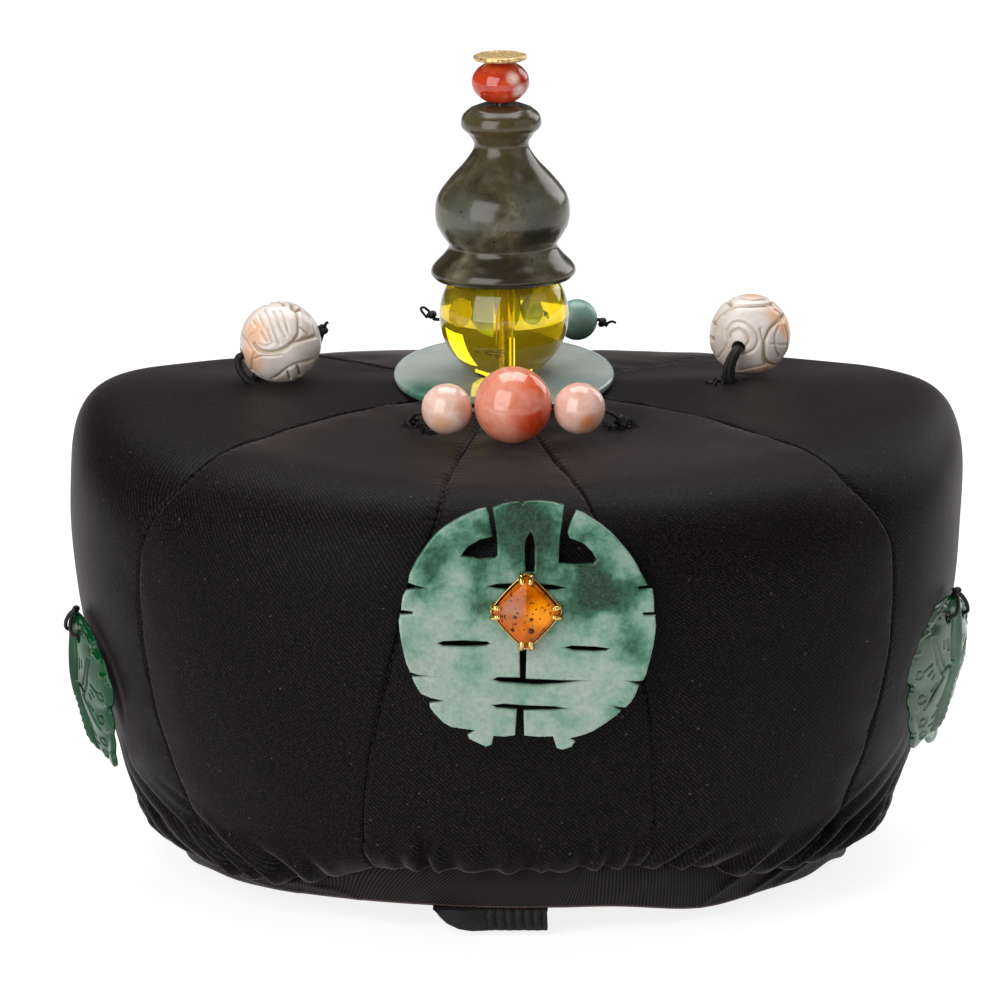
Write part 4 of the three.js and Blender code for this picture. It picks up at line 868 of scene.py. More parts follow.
def medallionPieces(looks):
    roundelPiece(looks["mottledJade"])
    origin, axisU, axisV, out = medallionFrame()
    stoneU, stoneV = medallion["stone"]
    place = lambda u, v, w: origin + axisU * (u + stoneU) + axisV * (v + stoneV) + out * (w + medallion["plate"])
    sides, halfU, halfV = (medallion[k] for k in ("sides", "halfU", "halfV"))
    a = np.linspace(0, 2 * np.pi, sides + 1)[:-1]

    def ring(share, w, power):
        k = (np.abs(np.cos(a)) ** power + np.abs(np.sin(a)) ** power) ** (-1 / power)
        return np.column_stack([share * halfU * k * np.cos(a), share * halfV * k * np.sin(a), np.full(sides, w)])

    # the stone: a square set on its corner, with a bevelled rim and a low ridge from top to bottom
    rings = [ring(*r) for r in (
        (0.001, 1.2, 1.2), (0.86, 1.2, 1.14), (0.97, 1.6, 1.12), (1.0, 2.2, 1.12), (1.0, 3.2, 1.12),
        (0.975, 3.55, 1.12))]
    for share in (0.84, 0.82, 0.7, 0.5, 0.3, 0.12, 0.001):
        rings.append([(u, v, 5.7 - 0.011 * (u * u + v * v) - 0.16 * abs(u)) for u, v, _ in ring(share, 0, 1.16)])
    points = np.array([[place(*p) for p in r] for r in rings]).reshape(-1, 3)
    faces, _ = gridFaces(len(rings), sides + 1, wrap=True)
    stone = tidyMesh(meshOf("stone_polished", points, faces), 0.03)
    stone.data.set_sharp_from_angle(angle=math.radians(17))
    asPiece(stone, looks["orangeAmber"], "orange_amber", "amber_stone")
    # the cup and its pairs of claws
    cup = [ring(*r) for r in (
        (0.001, 0.0, 1.18), (1.03, 0.0, 1.18), (1.075, 0.25, 1.16), (1.08, 1.3, 1.16), (1.06, 1.6, 1.16),
        (1.03, 1.55, 1.16), (1.015, 1.05, 1.16), (0.001, 1.0, 1.18))]
    faces, _ = gridFaces(len(cup), sides + 1, wrap=True)
    parts = [(np.array([[place(*p) for p in r] for r in cup]).reshape(-1, 3), faces)]
    for u, v in ((1, 0), (0, 1), (-1, 0), (0, -1)):
        half = halfU if u else halfV
        for side in (-1, 1):
            def at(reach, spread, w):
                along = half + reach
                return place(u * along + v * side * spread, v * along + u * side * spread, w)
            line = smoothLine([at(*p) for p in (
                (-0.1, 1.7, 0.3), (0.25, 1.65, 1.6), (0.3, 1.55, 2.9), (-0.05, 1.4, 4.0), (-0.9, 1.2, 4.6),
                (-1.5, 1.1, 4.75))], 5)
            radius = np.interp(np.linspace(0, 1, len(line)), [0, 0.6, 0.85, 1], [0.62, 0.66, 0.78, 0.62])
            parts.append(tubeParts(line, radius, 12))
            parts.append(ballParts(line[-1], 0.72))
    asPiece(joinedParts("claws_gold", parts), looks["gold"], "gold", "gold_setting")


def ballParts(centre, r, rings=10, sides=14):
    a = np.linspace(0, np.pi, rings)
    b = np.linspace(0, 2 * np.pi, sides + 1)[:-1]
    points = np.stack([np.outer(np.sin(a), np.cos(b)), np.outer(np.sin(a), np.sin(b)),
                       np.outer(np.cos(a), np.ones(sides))], -1) * r
    faces, _ = gridFaces(rings, sides + 1, wrap=True)
    return points.reshape(-1, 3) + np.array(centre), faces


# butterflies: outline, then relief from long cuts, dashes, rings and curled edges
butterfly = {
    "rows": [
        (-22.4, 5.2), (-21.2, 8.2), (-19.4, 9.6), (-17.6, 9.4), (-16.4, 10.6), (-13.8, 12.6), (-11.8, 12.6),
        (-10.4, 13.8), (-8.0, 16.0), (-5.2, 15.9), (-3.6, 15.9), (-1.6, 19.0), (2.0, 21.2), (4.2, 21.0),
        (6.0, 20.2), (8.8, 19.4), (10.6, 18.6), (12.0, 17.2), (14.0, 15.4), (15.6, 15.2), (17.0, 13.4),
        (18.6, 11.4), (20.2, 6.4), (21.2, 2.4),
    ],
    "rim": 1.3, "dome": 3.4, "ridge": 1.5, "bend": 118.0, "sink": 0.5, "notch": 3.0, "grid": (190, 170, 48, 43),
    "cuts": [
        ([(13.0, 10.2), (11.4, 6.6), (9.4, 3.0), (6.4, 0.3)], 0.42, 0.7),
        ([(11.8, 10.5), (10.0, 7.5), (8.2, 5.1), (6.4, 3.0)], 0.4, 0.6),
        ([(6.6, 0.3), (5.0, 2.1), (2.4, 2.4)], 0.4, 0.7), ([(5.6, -0.3), (8.2, -5.1), (9.8, -9.6)], 0.42, 0.8),
        ([(2.1, 1.2), (2.5, -4.5), (2.4, -11.4), (1.9, -16.2)], 0.45, 0.9),
        ([(3.1, 16.8), (3.2, 9.6), (2.2, 4.2)], 0.42, 0.8), ([(15.6, 1.5), (14.2, 2.4), (12.4, 3.6)], 0.36, 0.5),
        ([(13.0, 0.3), (11.6, 1.8)], 0.36, 0.5), ([(10.8, -0.6), (10.2, 0.6)], 0.34, 0.45),
        ([(9.4, -4.2), (8.4, -2.1)], 0.36, 0.5), ([(4.2, -9.0), (3.0, -7.2)], 0.34, 0.45),
        ([(4.4, -12.3), (3.2, -10.5)], 0.34, 0.45), ([(4.6, -14.9), (3.2, -14.1)], 0.34, 0.45),
        ([(7.8, 9.6), (7.4, 7.8)], 0.32, 0.4), ([(5.8, 9.9), (4.8, 7.2)], 0.32, 0.4),
    ],
    # curled edges of the wings: thin raised lines
    "curls": [
        [(10.4, 16.6), (8.6, 18.4), (6.0, 18.8)], [(13.4, 14.8), (11.6, 16.6), (9.8, 17.2), (8.0, 16.5)],
        [(13.8, 12.6), (14.4, 13.6), (14.4, 15.0)], [(17.4, 10.8), (15.8, 11.7), (14.0, 12.3)],
        [(20.4, 4.5), (19.8, 6.0), (18.0, 6.6)], [(17.8, -2.1), (16.4, -3.2), (15.0, -3.6)],
        [(15.6, -8.8), (14.2, -9.6), (12.2, -10.2)], [(12.4, -15.6), (10.8, -16.6), (9.0, -17.2)],
    ],
    "rings": [(16.8, 0.7, 1.25), (12.2, -6.6, 1.25), (7.9, -13.7, 1.25), (5.0, -17.6, 1.1)],
    "holes": [(5.6, 15.9, 1.35)],
    "left": {"centre": (-115.6, -27.944, 53.5), "u": (0.2078, -0.9768, 0.0514), "v": (-0.1971, 0.0096, 0.9803),
             "w": (-0.9581, -0.2138, -0.1906)},
    "right": {"centre": (115.3, -31.4, 59.3), "u": (0.3973, 0.9121, -0.098), "v": (0.1868, 0.0241, 0.9821),
              "w": (0.8985, -0.409, -0.1609)},
}


def butterflyPiece(side, jade):
    outline = smoothLine([(v, h) for v, h in butterfly["rows"]], 8)
    rows, cols, backRows, backCols = butterfly["grid"]
    v = np.linspace(-22.2, 21.0, rows)
    half = np.interp(v, outline[:, 0], outline[:, 1])
    f = np.linspace(-1, 1, cols)
    u = f[None] * half[:, None]
    vv = np.repeat(v[:, None], len(f), 1)
    edge = np.clip(np.hypot(f[None] * 0.97, (vv + 0.6) / 22.4), 0, 1)
    rimFall = 1 - np.clip(np.maximum(np.abs(f[None]), np.abs(vv + 0.6) / 21.7), 0, 1) ** 26
    vv = vv + butterfly["notch"] * np.exp(-(u / 3.6) ** 2) * smoothStep(-vv, 11, 22)
    w = butterfly["rim"] * rimFall + butterfly["dome"] * (1 - edge ** 2)
    w += butterfly["ridge"] * np.exp(-(u / 1.5) ** 2) * (1 - edge ** 6)
    flat = np.stack([np.abs(u), vv, np.zeros_like(u)], -1).reshape(-1, 3)
    cut = np.zeros(len(flat))
    for line, wide, depth in butterfly["cuts"]:
        route = smoothLine([(a, b, 0) for a, b in line], 6)
        cut = np.maximum(cut, depth * np.exp(-(lineDistance(flat, route) / wide) ** 2))
    for cu, cv, cr in butterfly["rings"]:
        far = np.abs(np.hypot(flat[:, 0] - cu, flat[:, 1] - cv) - cr)
        cut = np.maximum(cut, 0.55 * np.exp(-(far / 0.32) ** 2))
    curl = np.zeros(len(flat))
    for line in butterfly["curls"]:
        route = smoothLine([(a, b, 0) for a, b in line], 6)
        curl = np.maximum(curl, 0.5 * np.exp(-(lineDistance(flat, route) / 0.42) ** 2))
    for cu, cv, cr in butterfly["holes"]:
        far = np.hypot((flat[:, 0] - cu) * 0.9, (flat[:, 1] - cv) * 0.8)
        cut = np.maximum(cut, 3.2 * (1 - smoothStep(far, cr * 0.75, cr * 1.1)))
    segments = 0.25 * np.abs(np.sin(vv * 1.5)) * np.exp(-(u / 1.2) ** 2) * (vv < -1)
    lobes = 0.22 * np.sin(np.abs(u) * 0.42 + vv * 0.3) * (1 - edge) ** 0.5
    w = np.maximum(w + lobes - segments + curl.reshape(u.shape) - cut.reshape(u.shape), 0.25)
    bend = u ** 2 / (2 * butterfly["bend"]) + butterfly["sink"]
    spec = butterfly[side]
    place = lambda high: np.array(spec["centre"]) + sum(
        share[..., None] * np.array(spec[way]) for share, way in ((u, "u"), (vv, "v"), (high, "w")))
    front, back = place(w - bend), place(-0.2 - bend)
    keepR, keepC = (np.linspace(0, n - 1, k).astype(int) for n, k in ((rows, backRows), (cols, backCols)))
    back = back[np.ix_(keepR, keepC)]
    faces, _ = gridFaces(rows, cols)
    backFaces, _ = gridFaces(backRows, backCols)
    blank = np.zeros(back.shape[0] * back.shape[1])
    thin = smoothStep(edge, 0.72, 1.0) * smoothStep(np.abs(u), 4, 8)  # the thin rim, where light comes through
    marks = {"cut": np.concatenate([cut * 1.2, blank]), "thin": np.concatenate([thin.ravel(), blank + 1])}
    obj = meshOf("butterfly_" + side, np.vstack([front.reshape(-1, 3), back.reshape(-1, 3)]),
                 faces.tolist() + (backFaces[:, ::-1] + rows * cols).tolist(), marks=marks)
    asPiece(tidyMesh(obj, bridge=True), jade, "green_jade", "jade_butterfly_" + side)


# threads, cords and knots
threads = {
    "coral": [
        (-27.3, -33.6, 126.6), (-27.6, -35.2, 128.3), (-28.3, -40, 130.0), (-28.0, -45.4, 132.4),
        (-25.8, -48.8, 134.5), (-18.7, -48.8, 135.6), (-11.6, -48.8, 136.6), (-0.9, -48.8, 136.7),
        (9.9, -48.8, 136.6), (17, -48.8, 135.8), (24.2, -48.8, 134.9), (27.2, -45.4, 132.5), (28.0, -40, 130.1),
        (27.4, -35.4, 128.4), (27.1, -33.8, 126.7),
    ],
    "teal": [
        (-24.4, 61, 140.2), (-23.0, 61, 138.6), (-20.5, 61, 138.05), (1, 61, 138.03), (22.6, 61, 138.03),
        (24.4, 61, 137.2), (25.8, 60.8, 136.2),
    ],
    "tealTies": (-9.2, 11.2),
    "tealEnds": [[(25.2, 60.8, 136.8), (27.0, 60.4, 137.6), (28.2, 60.2, 137.2)],
                 [(-24.2, 60.9, 140.4), (-25.8, 60.6, 141.6), (-26.6, 60.4, 141.0), (-24.9, 60.6, 138.6)]],
    "carvedEnds": [[(-53.4, 10.6, 143.6), (-54.0, 10.2, 141.8), (-54.6, 9.9, 140.2)],
                   [(-53.2, 10.6, 145.4), (-52.4, 10.2, 147.0), (-51.8, 10.0, 147.6)]],
    "carvedLeft": [
        (-53.0, 10.9, 146.1), (-54.4, 10.7, 145.5), (-64.9, 8.0, 142.4), (-75.2, 5.3, 139.3),
        (-76.4, 4.6, 137.2), (-75.3, 3.8, 134.4), (-72.9, 3.2, 131.9), (-70.2, 3.6, 130.6), (-68.6, 4.6, 129.2),
    ],
    "carvedRight": [
        (67.9, 30.4, 143.6), (64.6, 19.5, 142.1), (61.3, 9.0, 140.8), (60.2, 6.0, 140.0), (58.7, 4.3, 137.2),
        (58.2, 4.0, 134.0), (58.6, 4.4, 131.4), (59.2, 5.0, 129.6),
    ],
    "tie": [
        (5.0, 15.8, 2.0), (4.6, 17.0, 3.3), (3.4, 19.0, 3.1), (2.0, 20.9, 2.0), (0.9, 21.9, 0.8),
        (0.4, 22.8, -0.4),
    ],
}


def knotParts(centre, size, thick, turn=0.0):
    # an overhand knot pulled nearly tight
    t = np.linspace(0, 2 * np.pi, 60)
    loop = np.column_stack([np.sin(t) + 2 * np.sin(2 * t), np.cos(t) - 2 * np.cos(2 * t), -np.sin(3 * t)])
    loop = loop * size / 3
    c, s = math.cos(turn), math.sin(turn)
    return tubeParts(loop @ np.array([[c, 0, s], [0, 1, 0], [-s, 0, c]]) + np.array(centre), thick, 8)


def onTop(x, y):
    # height of the crown's top at a place in millimetres
    az = math.degrees(math.atan2(x, headAxis[1] - y))
    t = math.hypot(x, y - headAxis[1]) / float(crownValue("flatR", np.array([az]))[0])
    return float(crownPoint(np.array([az]), np.array([t]))[0][2])


def threadWork(looks):
    cord = lambda line, steps, *size: tubeParts(smoothLine(line, steps), *size)

    def threadPiece(name, cords, node, *knots):
        parts = cords + [knotParts(*knot) for knot in knots]
        asPiece(joinedParts(name, parts), looks["thread"], "thread", node)

    threadPiece("coral_thread", [cord(threads["coral"], 8, 0.5, 8)], "front_bead_thread",
                ((-27.6, -43.2, 131.4), 1.1, 0.55, 0.5), ((-12.0, -49.2, 136.5), 0.5, 0.42),
                ((10.0, -49.2, 136.4), 0.5, 0.42), ((27.6, -43.0, 131.4), 1.1, 0.55, 1.1))
    cords = [cord(threads["teal"], 8, 0.5, 8)] + [cord(line, 6, 0.4, 6) for line in threads["tealEnds"]]
    for x in threads["tealTies"]:
        foot = onTop(x, 61)
        cords.append(cord([(x, 61, 138), (x + 0.2, 61.2, (138 + foot) / 2), (x, 61, foot - 1)], 5, 0.5, 8))
    threadPiece("teal_thread", cords, "back_bead_thread",
                ((-23.6, 61, 139.4), 0.8, 0.75, 0.4), ((24.3, 60.9, 137.2), 0.8, 0.75, 1.2))
    down, up = threads["carvedEnds"]
    cords = [cord(threads["carvedLeft"], 10, 0.9, 12, 3.0, 3, 0.18), cord(down, 6, 0.5, 8), cord(up, 6, 0.45, 8)]
    threadPiece("carved_cord_left", cords, "carved_bead_cord_left", ((-53.4, 10.8, 144.6), 1.25, 0.7, 0.7))
    route = smoothLine(threads["carvedRight"], 10)
    spread = np.linspace(0.2, 1, len(route))[:, None]
    cords = [tubeParts(route + spread * np.array(shift), 0.72, 10, 3.0, 3, 0.15)
             for shift in ((-0.9, 0, 0.2), (0.5, -0.6, 0), (1.7, 0.5, -0.3))]
    threadPiece("carved_cord_right", cords, "carved_bead_cord_right", ((67.9, 31.0, 143.8), 1.5, 0.8, 0.7),
                ((54.4, 4.6, 131.6), 2.3, 0.36, 0.2), ((56.0, 3.2, 130.9), 1.9, 0.34, 1.3))
    for side in ("left", "right"):
        spec = butterfly[side]
        at = lambda p: np.array(spec["centre"]) + sum(c * np.array(spec[k]) for c, k in zip(p, "uvw"))
        cords = [cord([at((x * flip, v, w)) for x, v, w in threads["tie"]], 8, 0.55, 8) for flip in (-1, 1)]
        knot = (at((0.2, 22.0, 0.6)), 1.1, 0.6, 0.9)
        threadPiece("butterfly_thread_" + side, cords, "butterfly_tie_" + side, knot)


# stitches, made along paths by one node tree
stitching = {
    "seam": {"Spacing": 2.7, "Length": 1.9, "Thickness": 0.13, "Scatter": 0.08, "Seed": 3},
    "hem": {"Spacing": 2.9, "Length": 2.3, "Thickness": 0.2, "Scatter": 0.35, "Seed": 8},
    "tuft": {"Spacing": 0.34, "Length": 4.2, "Thickness": 0.17, "Scatter": 1.2, "Seed": 5},
}


def stitchTree():
    tree = bpy.data.node_groups.new("thread stitches along a path", "GeometryNodeTree")
    kinds = {"Path": "Geometry", "Spacing": "Float", "Length": "Float", "Thickness": "Float", "Scatter": "Float",
             "Seed": "Int", "Thread": "Material"}
    for name, kind in kinds.items():
        tree.interface.new_socket(name, in_out="INPUT", socket_type="NodeSocket" + kind)
    tree.interface.new_socket("Stitches", in_out="OUTPUT", socket_type="NodeSocketGeometry")
    given = addNode(tree, "NodeGroupInput", out=None)
    path = addNode(tree, "GeometryNodeMeshToCurve", {"Mesh": given["Path"]})
    points = addNode(tree, "GeometryNodeCurveToPoints", {"Curve": path, "Length": given["Spacing"]}, None,
                     mode="LENGTH")
    stitch = addNode(tree, "GeometryNodeMeshCylinder", {
        "Vertices": 6, "Radius": given["Thickness"], "Depth": given["Length"]})
    back = addNode(tree, "Math", {0: given["Scatter"], 1: -1.0}, operation="MULTIPLY")
    wander = addNode(tree, "FunctionNodeRandomValue", {0: back, 1: given["Scatter"], "Seed": given["Seed"]},
                     data_type="FLOAT_VECTOR")
    turn = addNode(tree, "FunctionNodeEulerToRotation", {"Euler": wander})
    turned = addNode(tree, "FunctionNodeRotateRotation", {"Rotation": points["Rotation"], "Rotate By": turn},
                     rotation_space="LOCAL")
    made = addNode(tree, "GeometryNodeInstanceOnPoints", {
        "Points": points["Points"], "Instance": stitch, "Rotation": turned})
    made = addNode(tree, "GeometryNodeRealizeInstances", {"Geometry": made})
    made = addNode(tree, "GeometryNodeSetShadeSmooth", {"Geometry": made})
    made = addNode(tree, "GeometryNodeSetMaterial", {"Geometry": made, "Material": given["Thread"]})
    addNode(tree, "NodeGroupOutput", {"Stitches": made})
    return tree


def stitchedPiece(name, tree, lines, sizes, thread):
    points, edges = [], []
    for line in lines:
        edges += [(len(points) + k, len(points) + k + 1) for k in range(len(line) - 1)]
        points += [tuple(np.array(p) * mm) for p in line]
    mesh = bpy.data.meshes.new(name)
    mesh.from_pydata(points, edges, [])
    obj = inScene(name, mesh)
    modifier = obj.modifiers.new("stitches", "NODES")
    modifier.node_group = tree
    for socket in tree.interface.items_tree:
        if socket.name in sizes:
            value = sizes[socket.name]
            modifier[socket.identifier] = value if socket.name in ("Scatter", "Seed") else value * mm
        elif socket.name == "Thread":
            modifier[socket.identifier] = thread
    made = bpy.data.meshes.new_from_object(obj.evaluated_get(bpy.context.evaluated_depsgraph_get()))
    obj.modifiers.clear()
    obj.data = made
    return asPiece(obj, thread, "thread")


def allStitches(looks):
    tree = stitchTree()
    seams = []
    t = np.linspace(0.5, 3.86, 240)
    for seam in ("-frontLeft", "+frontRight", "-arch", "+arch", "-backSide", "+backSide", "-backCentre",
                 "+backCentre"):
        az = seamAz(seam, t)
        seams.append(crownPoint(az, t) - crownNormal(az, t) * (crown["seamDip"] + 0.1) + headAxis)
    stitchedPiece("seam_stitches", tree, seams, stitching["seam"], looks["thread"])
    az = np.linspace(-180, 180, 721)
    low = np.full_like(az, 4.0)
    hem = crownPoint(az, low) + headAxis
    hem[:, 2] += 0.5
    hem[:, :2] += 0.35 * hem[:, :2] / np.linalg.norm(hem[:, :2], axis=1)[:, None]
    stitchedPiece("hem_stitches", tree, [hem], stitching["hem"], looks["thread"])
    tufts = []
    for x, y, size, up in ((-27.8, -36, 2.4, 0.9), (27.6, -36, 2.6, 0.9), (30.4, -34, 1.6, 0.7),
        (-24.2, -41.5, 1.3, 0.8), (58.8, 5.2, 1.7, 0.9),
                           (-71.0, 8.6, 1.3, 0.5), (-9.2, 61, 1.0, 0.5), (11.2, 61, 1.0, 0.5)):
        a = np.linspace(0, 2 * np.pi, 12)
        z = onTop(x, y) + up
        tufts.append(np.column_stack([x + size * np.cos(a), y + 0.6 * size * np.sin(a), z + 0.5 * np.sin(2 * a)]))
    stitchedPiece("thread_tufts", tree, tufts, stitching["tuft"], looks["thread"])


# materials: pattern sizes are in millimetres
def blackSatin(name, shine, rough, sheen, edge=0.3, tint="#ab9a9d"):
    # duchess satin: near black with a wide soft shine, brighter where it is seen edge on, with lighter twill lines
    # painted in as sheen and specks of lint
    material, tree, point = newMaterial(name)
    u = addNode(tree, "SeparateXYZ", {0: addNode(tree, "UVMap", uv_map="cloth")}, None)
    grain = addNode(tree, "TexNoise", sized(point, 0.48, 1.5))
    # satin threads are 0.12 mm apart, too fine to show: the twill line is drawn 1.35 mm apart and broken up
    slant = addNode(tree, "Math", {0: u[1], 1: 1.1, 2: u[0]}, operation="MULTIPLY_ADD")
    broken = addNode(tree, "Math", {0: grain, 1: 3.0}, operation="MULTIPLY")
    twill = addNode(tree, "Math", {0: slant, 1: 2 * math.pi / 1.35, 2: broken}, operation="MULTIPLY_ADD")
    twill = addNode(tree, "Math", {0: twill}, operation="SINE")
    weave = addNode(tree, "Math", {0: twill, 1: 0.13, 2: grain}, operation="MULTIPLY_ADD")
    # the lighter twill lines in the colour are painted sheen of the threads; the grain's random tone is the cloth's
    # own
    shade = addNode(tree, "ValToRGB", {0: weave}, stops=[(0.34, "#010101"), (0.52, "#080606"), (0.72, "#241d20")])
    cloudy = addNode(tree, "MapRange", {
        "Value": addNode(tree, "TexNoise", sized(point, 30)), "From Min": 0.3, "From Max": 0.7, "To Max": 0.35})
    shade = addNode(tree, "Mix", {0: cloudy, 6: shade, 7: "#0a0809"}, 2, data_type="RGBA")
    lint = addNode(tree, "TexNoise", sized(point, 1.1, 0.0))
    lint = addNode(tree, "ValToRGB", {0: lint}, stops=[(0.83, 0.0), (0.86, 0.25)])
    shade = addNode(tree, "Mix", {0: lint, 6: shade, 7: "#6b6463"}, 2, data_type="RGBA")
    # small puckers along the stitching
    seam = addNode(tree, "Attribute", out="Fac", attribute_name="seamEdge")
    reach = {"Value": seam, "From Min": 4.5, "From Max": 0.3}
    near = addNode(tree, "MapRange", reach, interpolation_type="SMOOTHSTEP")
    sway = addNode(tree, "TexNoise", sized(point, 6.0, 1.0))
    sway = addNode(tree, "Math", {0: sway, 1: 9.0}, operation="MULTIPLY")
    ripple = addNode(tree, "Math", {0: u[1], 1: 2 * math.pi / 3.1, 2: sway}, operation="MULTIPLY_ADD")
    ripple = addNode(tree, "Math", {0: ripple}, operation="SINE")
    pull = addNode(tree, "Math", {0: near, 1: ripple}, operation="MULTIPLY")
    soft = addNode(tree, "Math", {0: weave, 1: 0.6}, operation="MULTIPLY")
    height = addNode(tree, "Math", {0: pull, 1: 0.4, 2: soft}, operation="MULTIPLY_ADD")
    relief = addNode(tree, "Bump", {"Height": height, "Distance": 0.16 * mm, "Strength": 0.7})
    return surfaced(material, {
        "Base Color": shade, "Normal": relief, "Roughness": rough, "Specular IOR Level": shine,
        "Sheen Weight": sheen, "Sheen Roughness": edge, "Sheen Tint": tint})


def ribbedRibbon():
    # petersham: a dull black ribbon with a cross rib each millimetre and browned selvedges
    material, tree, point = newMaterial("black petersham ribbon")
    u = addNode(tree, "SeparateXYZ", {0: addNode(tree, "UVMap", uv_map="cloth")}, None)
    rib = addNode(tree, "Math", {0: u[0], 1: 2 * math.pi / ribbon["ribPitch"]}, operation="MULTIPLY")
    rib = addNode(tree, "Math", {0: rib}, operation="SINE")
    grain = addNode(tree, "TexNoise", sized(point, 0.4, 2.0))
    height = addNode(tree, "Math", {0: grain, 1: 0.9, 2: rib}, operation="MULTIPLY_ADD")
    # the rib colour is painted: lighter on the crests as painted highlight, darker between them as painted shade
    half = addNode(tree, "Math", {0: rib, 1: 0.5, 2: 0.5}, operation="MULTIPLY_ADD")
    shade = addNode(tree, "ValToRGB", {0: half}, stops=[(0.0, "#080707"), (1.0, "#282324")])
    up = addNode(tree, "Math", {0: u[1]}, operation="ABSOLUTE")
    selvedge = addNode(tree, "Math", {0: up, 1: 0.5}, operation="LESS_THAN")
    selvedge = addNode(tree, "Math", {0: selvedge, 1: 0.6}, operation="MULTIPLY")
    return surfaced(material, {
        "Base Color": addNode(tree, "Mix", {0: selvedge, 6: shade, 7: "#5a4a44"}, 2, data_type="RGBA"),
        "Normal": addNode(tree, "Bump", {"Height": height, "Distance": 0.12 * mm, "Strength": 0.9}),
        "Roughness": 0.55, "Specular IOR Level": 0.12, "Sheen Weight": 0.03, "Sheen Roughness": 0.5,
        "Sheen Tint": "#9a9492"})


def grained(name, dark, light, stops, noise, depth, inputs, scale=(1, 1, 1)):
    # two shades that follow one grain, with the same grain as relief
    material, tree, point = newMaterial(name, (0, 0, 0), scale)
    grain = addNode(tree, "TexNoise", sized(point, *noise))
    shade = addNode(tree, "ValToRGB", {0: grain}, stops=list(zip(stops, (dark, light))))
    if depth:
        relief = addNode(tree, "Bump", {"Height": grain, "Distance": depth * mm, "Strength": 1.0})
        inputs = {"Normal": relief, **inputs}
    return surfaced(material, {"Base Color": shade, **inputs})


def metal(name, colour, dark, roughness, size, depth, metallic=1.0):
    # a metal worked by hand: rubbed bright on the high places and darker in the small dents
    return grained(name, dark, colour, (0.35, 0.65), (size, 4.0), depth,
                   {"Metallic": metallic, "Roughness": roughness})


def polished(name, stops, size, roughness=0.08, warp=0.6, detail=5.0, patches=(), specks=None, extra=(), **edges):
    # a polished stone: cloudy colour in the body under a clear wet-looking surface
    material, tree, point = newMaterial(name)
    clouds = addNode(tree, "TexNoise", sized(point, size, detail, 0.6, warp))
    colour = addNode(tree, "ValToRGB", {0: clouds}, stops=stops)
    layers = []
    for centre, radius, soft, tint in patches:
        ragged = addNode(tree, "TexNoise", sized(point, radius * 0.6, 4.0))
        ragged = addNode(tree, "Math", {0: ragged, 1: 2.0}, operation="MULTIPLY", use_clamp=True)
        place = patchAt(tree, centre, radius, soft)
        layers.append((addNode(tree, "Math", {0: place, 1: ragged}, operation="MULTIPLY", use_clamp=True), tint))
    if specks:
        fleckSize, low, tint = specks
        fleck = addNode(tree, "TexNoise", sized(point, fleckSize, 2.0))
        layers.append((addNode(tree, "ValToRGB", {0: fleck}, stops=[(low, 0.0), (low + 0.04, 1.0)]), tint))
    # colour laid into the carving by its depth, and the thin rim where light comes through
    for mark, tint in edges.items():
        value = addNode(tree, "Attribute", out="Fac", attribute_name=mark)
        layers.append((addNode(tree, "Math", {0: value, 1: 0.85}, operation="MULTIPLY", use_clamp=True), tint))
    for share, tint in layers:
        colour = addNode(tree, "Mix", {0: share, 6: colour, 7: tint}, 2, data_type="RGBA")
    wear = addNode(tree, "TexNoise", sized(point, 3.0))
    wear = addNode(tree, "Bump", {"Height": wear, "Distance": 0.02 * mm, "Strength": 0.5})
    return surfaced(material, {
        "Base Color": colour, "Normal": wear, "Roughness": roughness, "IOR": 1.6, **dict(extra)})


def cloudyJade(name, clouds):
    # jadeite: pale grey-green with dark green clouds that fray into it, under a high polish
    material, tree, point = newMaterial(name)
    value = addNode(tree, "TexNoise", sized(point, 9, 12.0, 0.64, 0.15))
    value = addNode(tree, "Math", {0: value, 1: 1.15, 2: -0.09}, operation="MULTIPLY_ADD")
    for centre, radius, weight in clouds:
        cloud = patchAt(tree, centre, radius, radius * 0.8)
        value = addNode(tree, "Math", {0: cloud, 1: weight, 2: value}, operation="MULTIPLY_ADD")
    colour = addNode(tree, "ValToRGB", {0: value}, stops=[
        (0.26, "#97a39b"), (0.42, "#859b8f"), (0.53, "#6f9080"), (0.64, "#487660"), (0.75, "#1c4f38"),
        (0.88, "#0a2c1d")])
    # pale crystals, dark grains and a tan vein by the dark cloud
    grains = [((0.6, 4.0, 0.8), 0.5, 0.4, "#a9b8b0"), ((1.1, 6.0, 0.75), 0.46, 1.6, "#4d6b5e")]
    for noise, low, gain, tint in grains:
        over = addNode(tree, "TexNoise", sized(point, *noise))
        over = addNode(tree, "Math", {0: over, 1: low}, operation="SUBTRACT", use_clamp=True)
        over = addNode(tree, "Math", {0: over, 1: gain}, operation="MULTIPLY", use_clamp=True)
        colour = addNode(tree, "Mix", {0: over, 6: colour, 7: tint}, 2, data_type="RGBA")
    vein = addNode(tree, "ValToRGB", {0: addNode(tree, "TexNoise", sized(point, 7, 4.0, 0.6, 1.6))}, stops=[
        (0.485, 0.0), (0.5, 0.45), (0.515, 0.0)])
    vein = addNode(tree, "Math", {0: vein, 1: patchAt(tree, clouds[13][0], 16, 10)}, operation="MULTIPLY")
    relief = addNode(tree, "TexNoise", sized(point, 4.0))
    return surfaced(material, {
        "Base Color": addNode(tree, "Mix", {0: vein, 6: colour, 7: "#8c7a5e"}, 2, data_type="RGBA"),
        "Normal": addNode(tree, "Bump", {"Height": relief, "Distance": 0.05 * mm, "Strength": 0.5}),
        "Roughness": 0.07, "IOR": 1.6, "Specular IOR Level": 0.26})


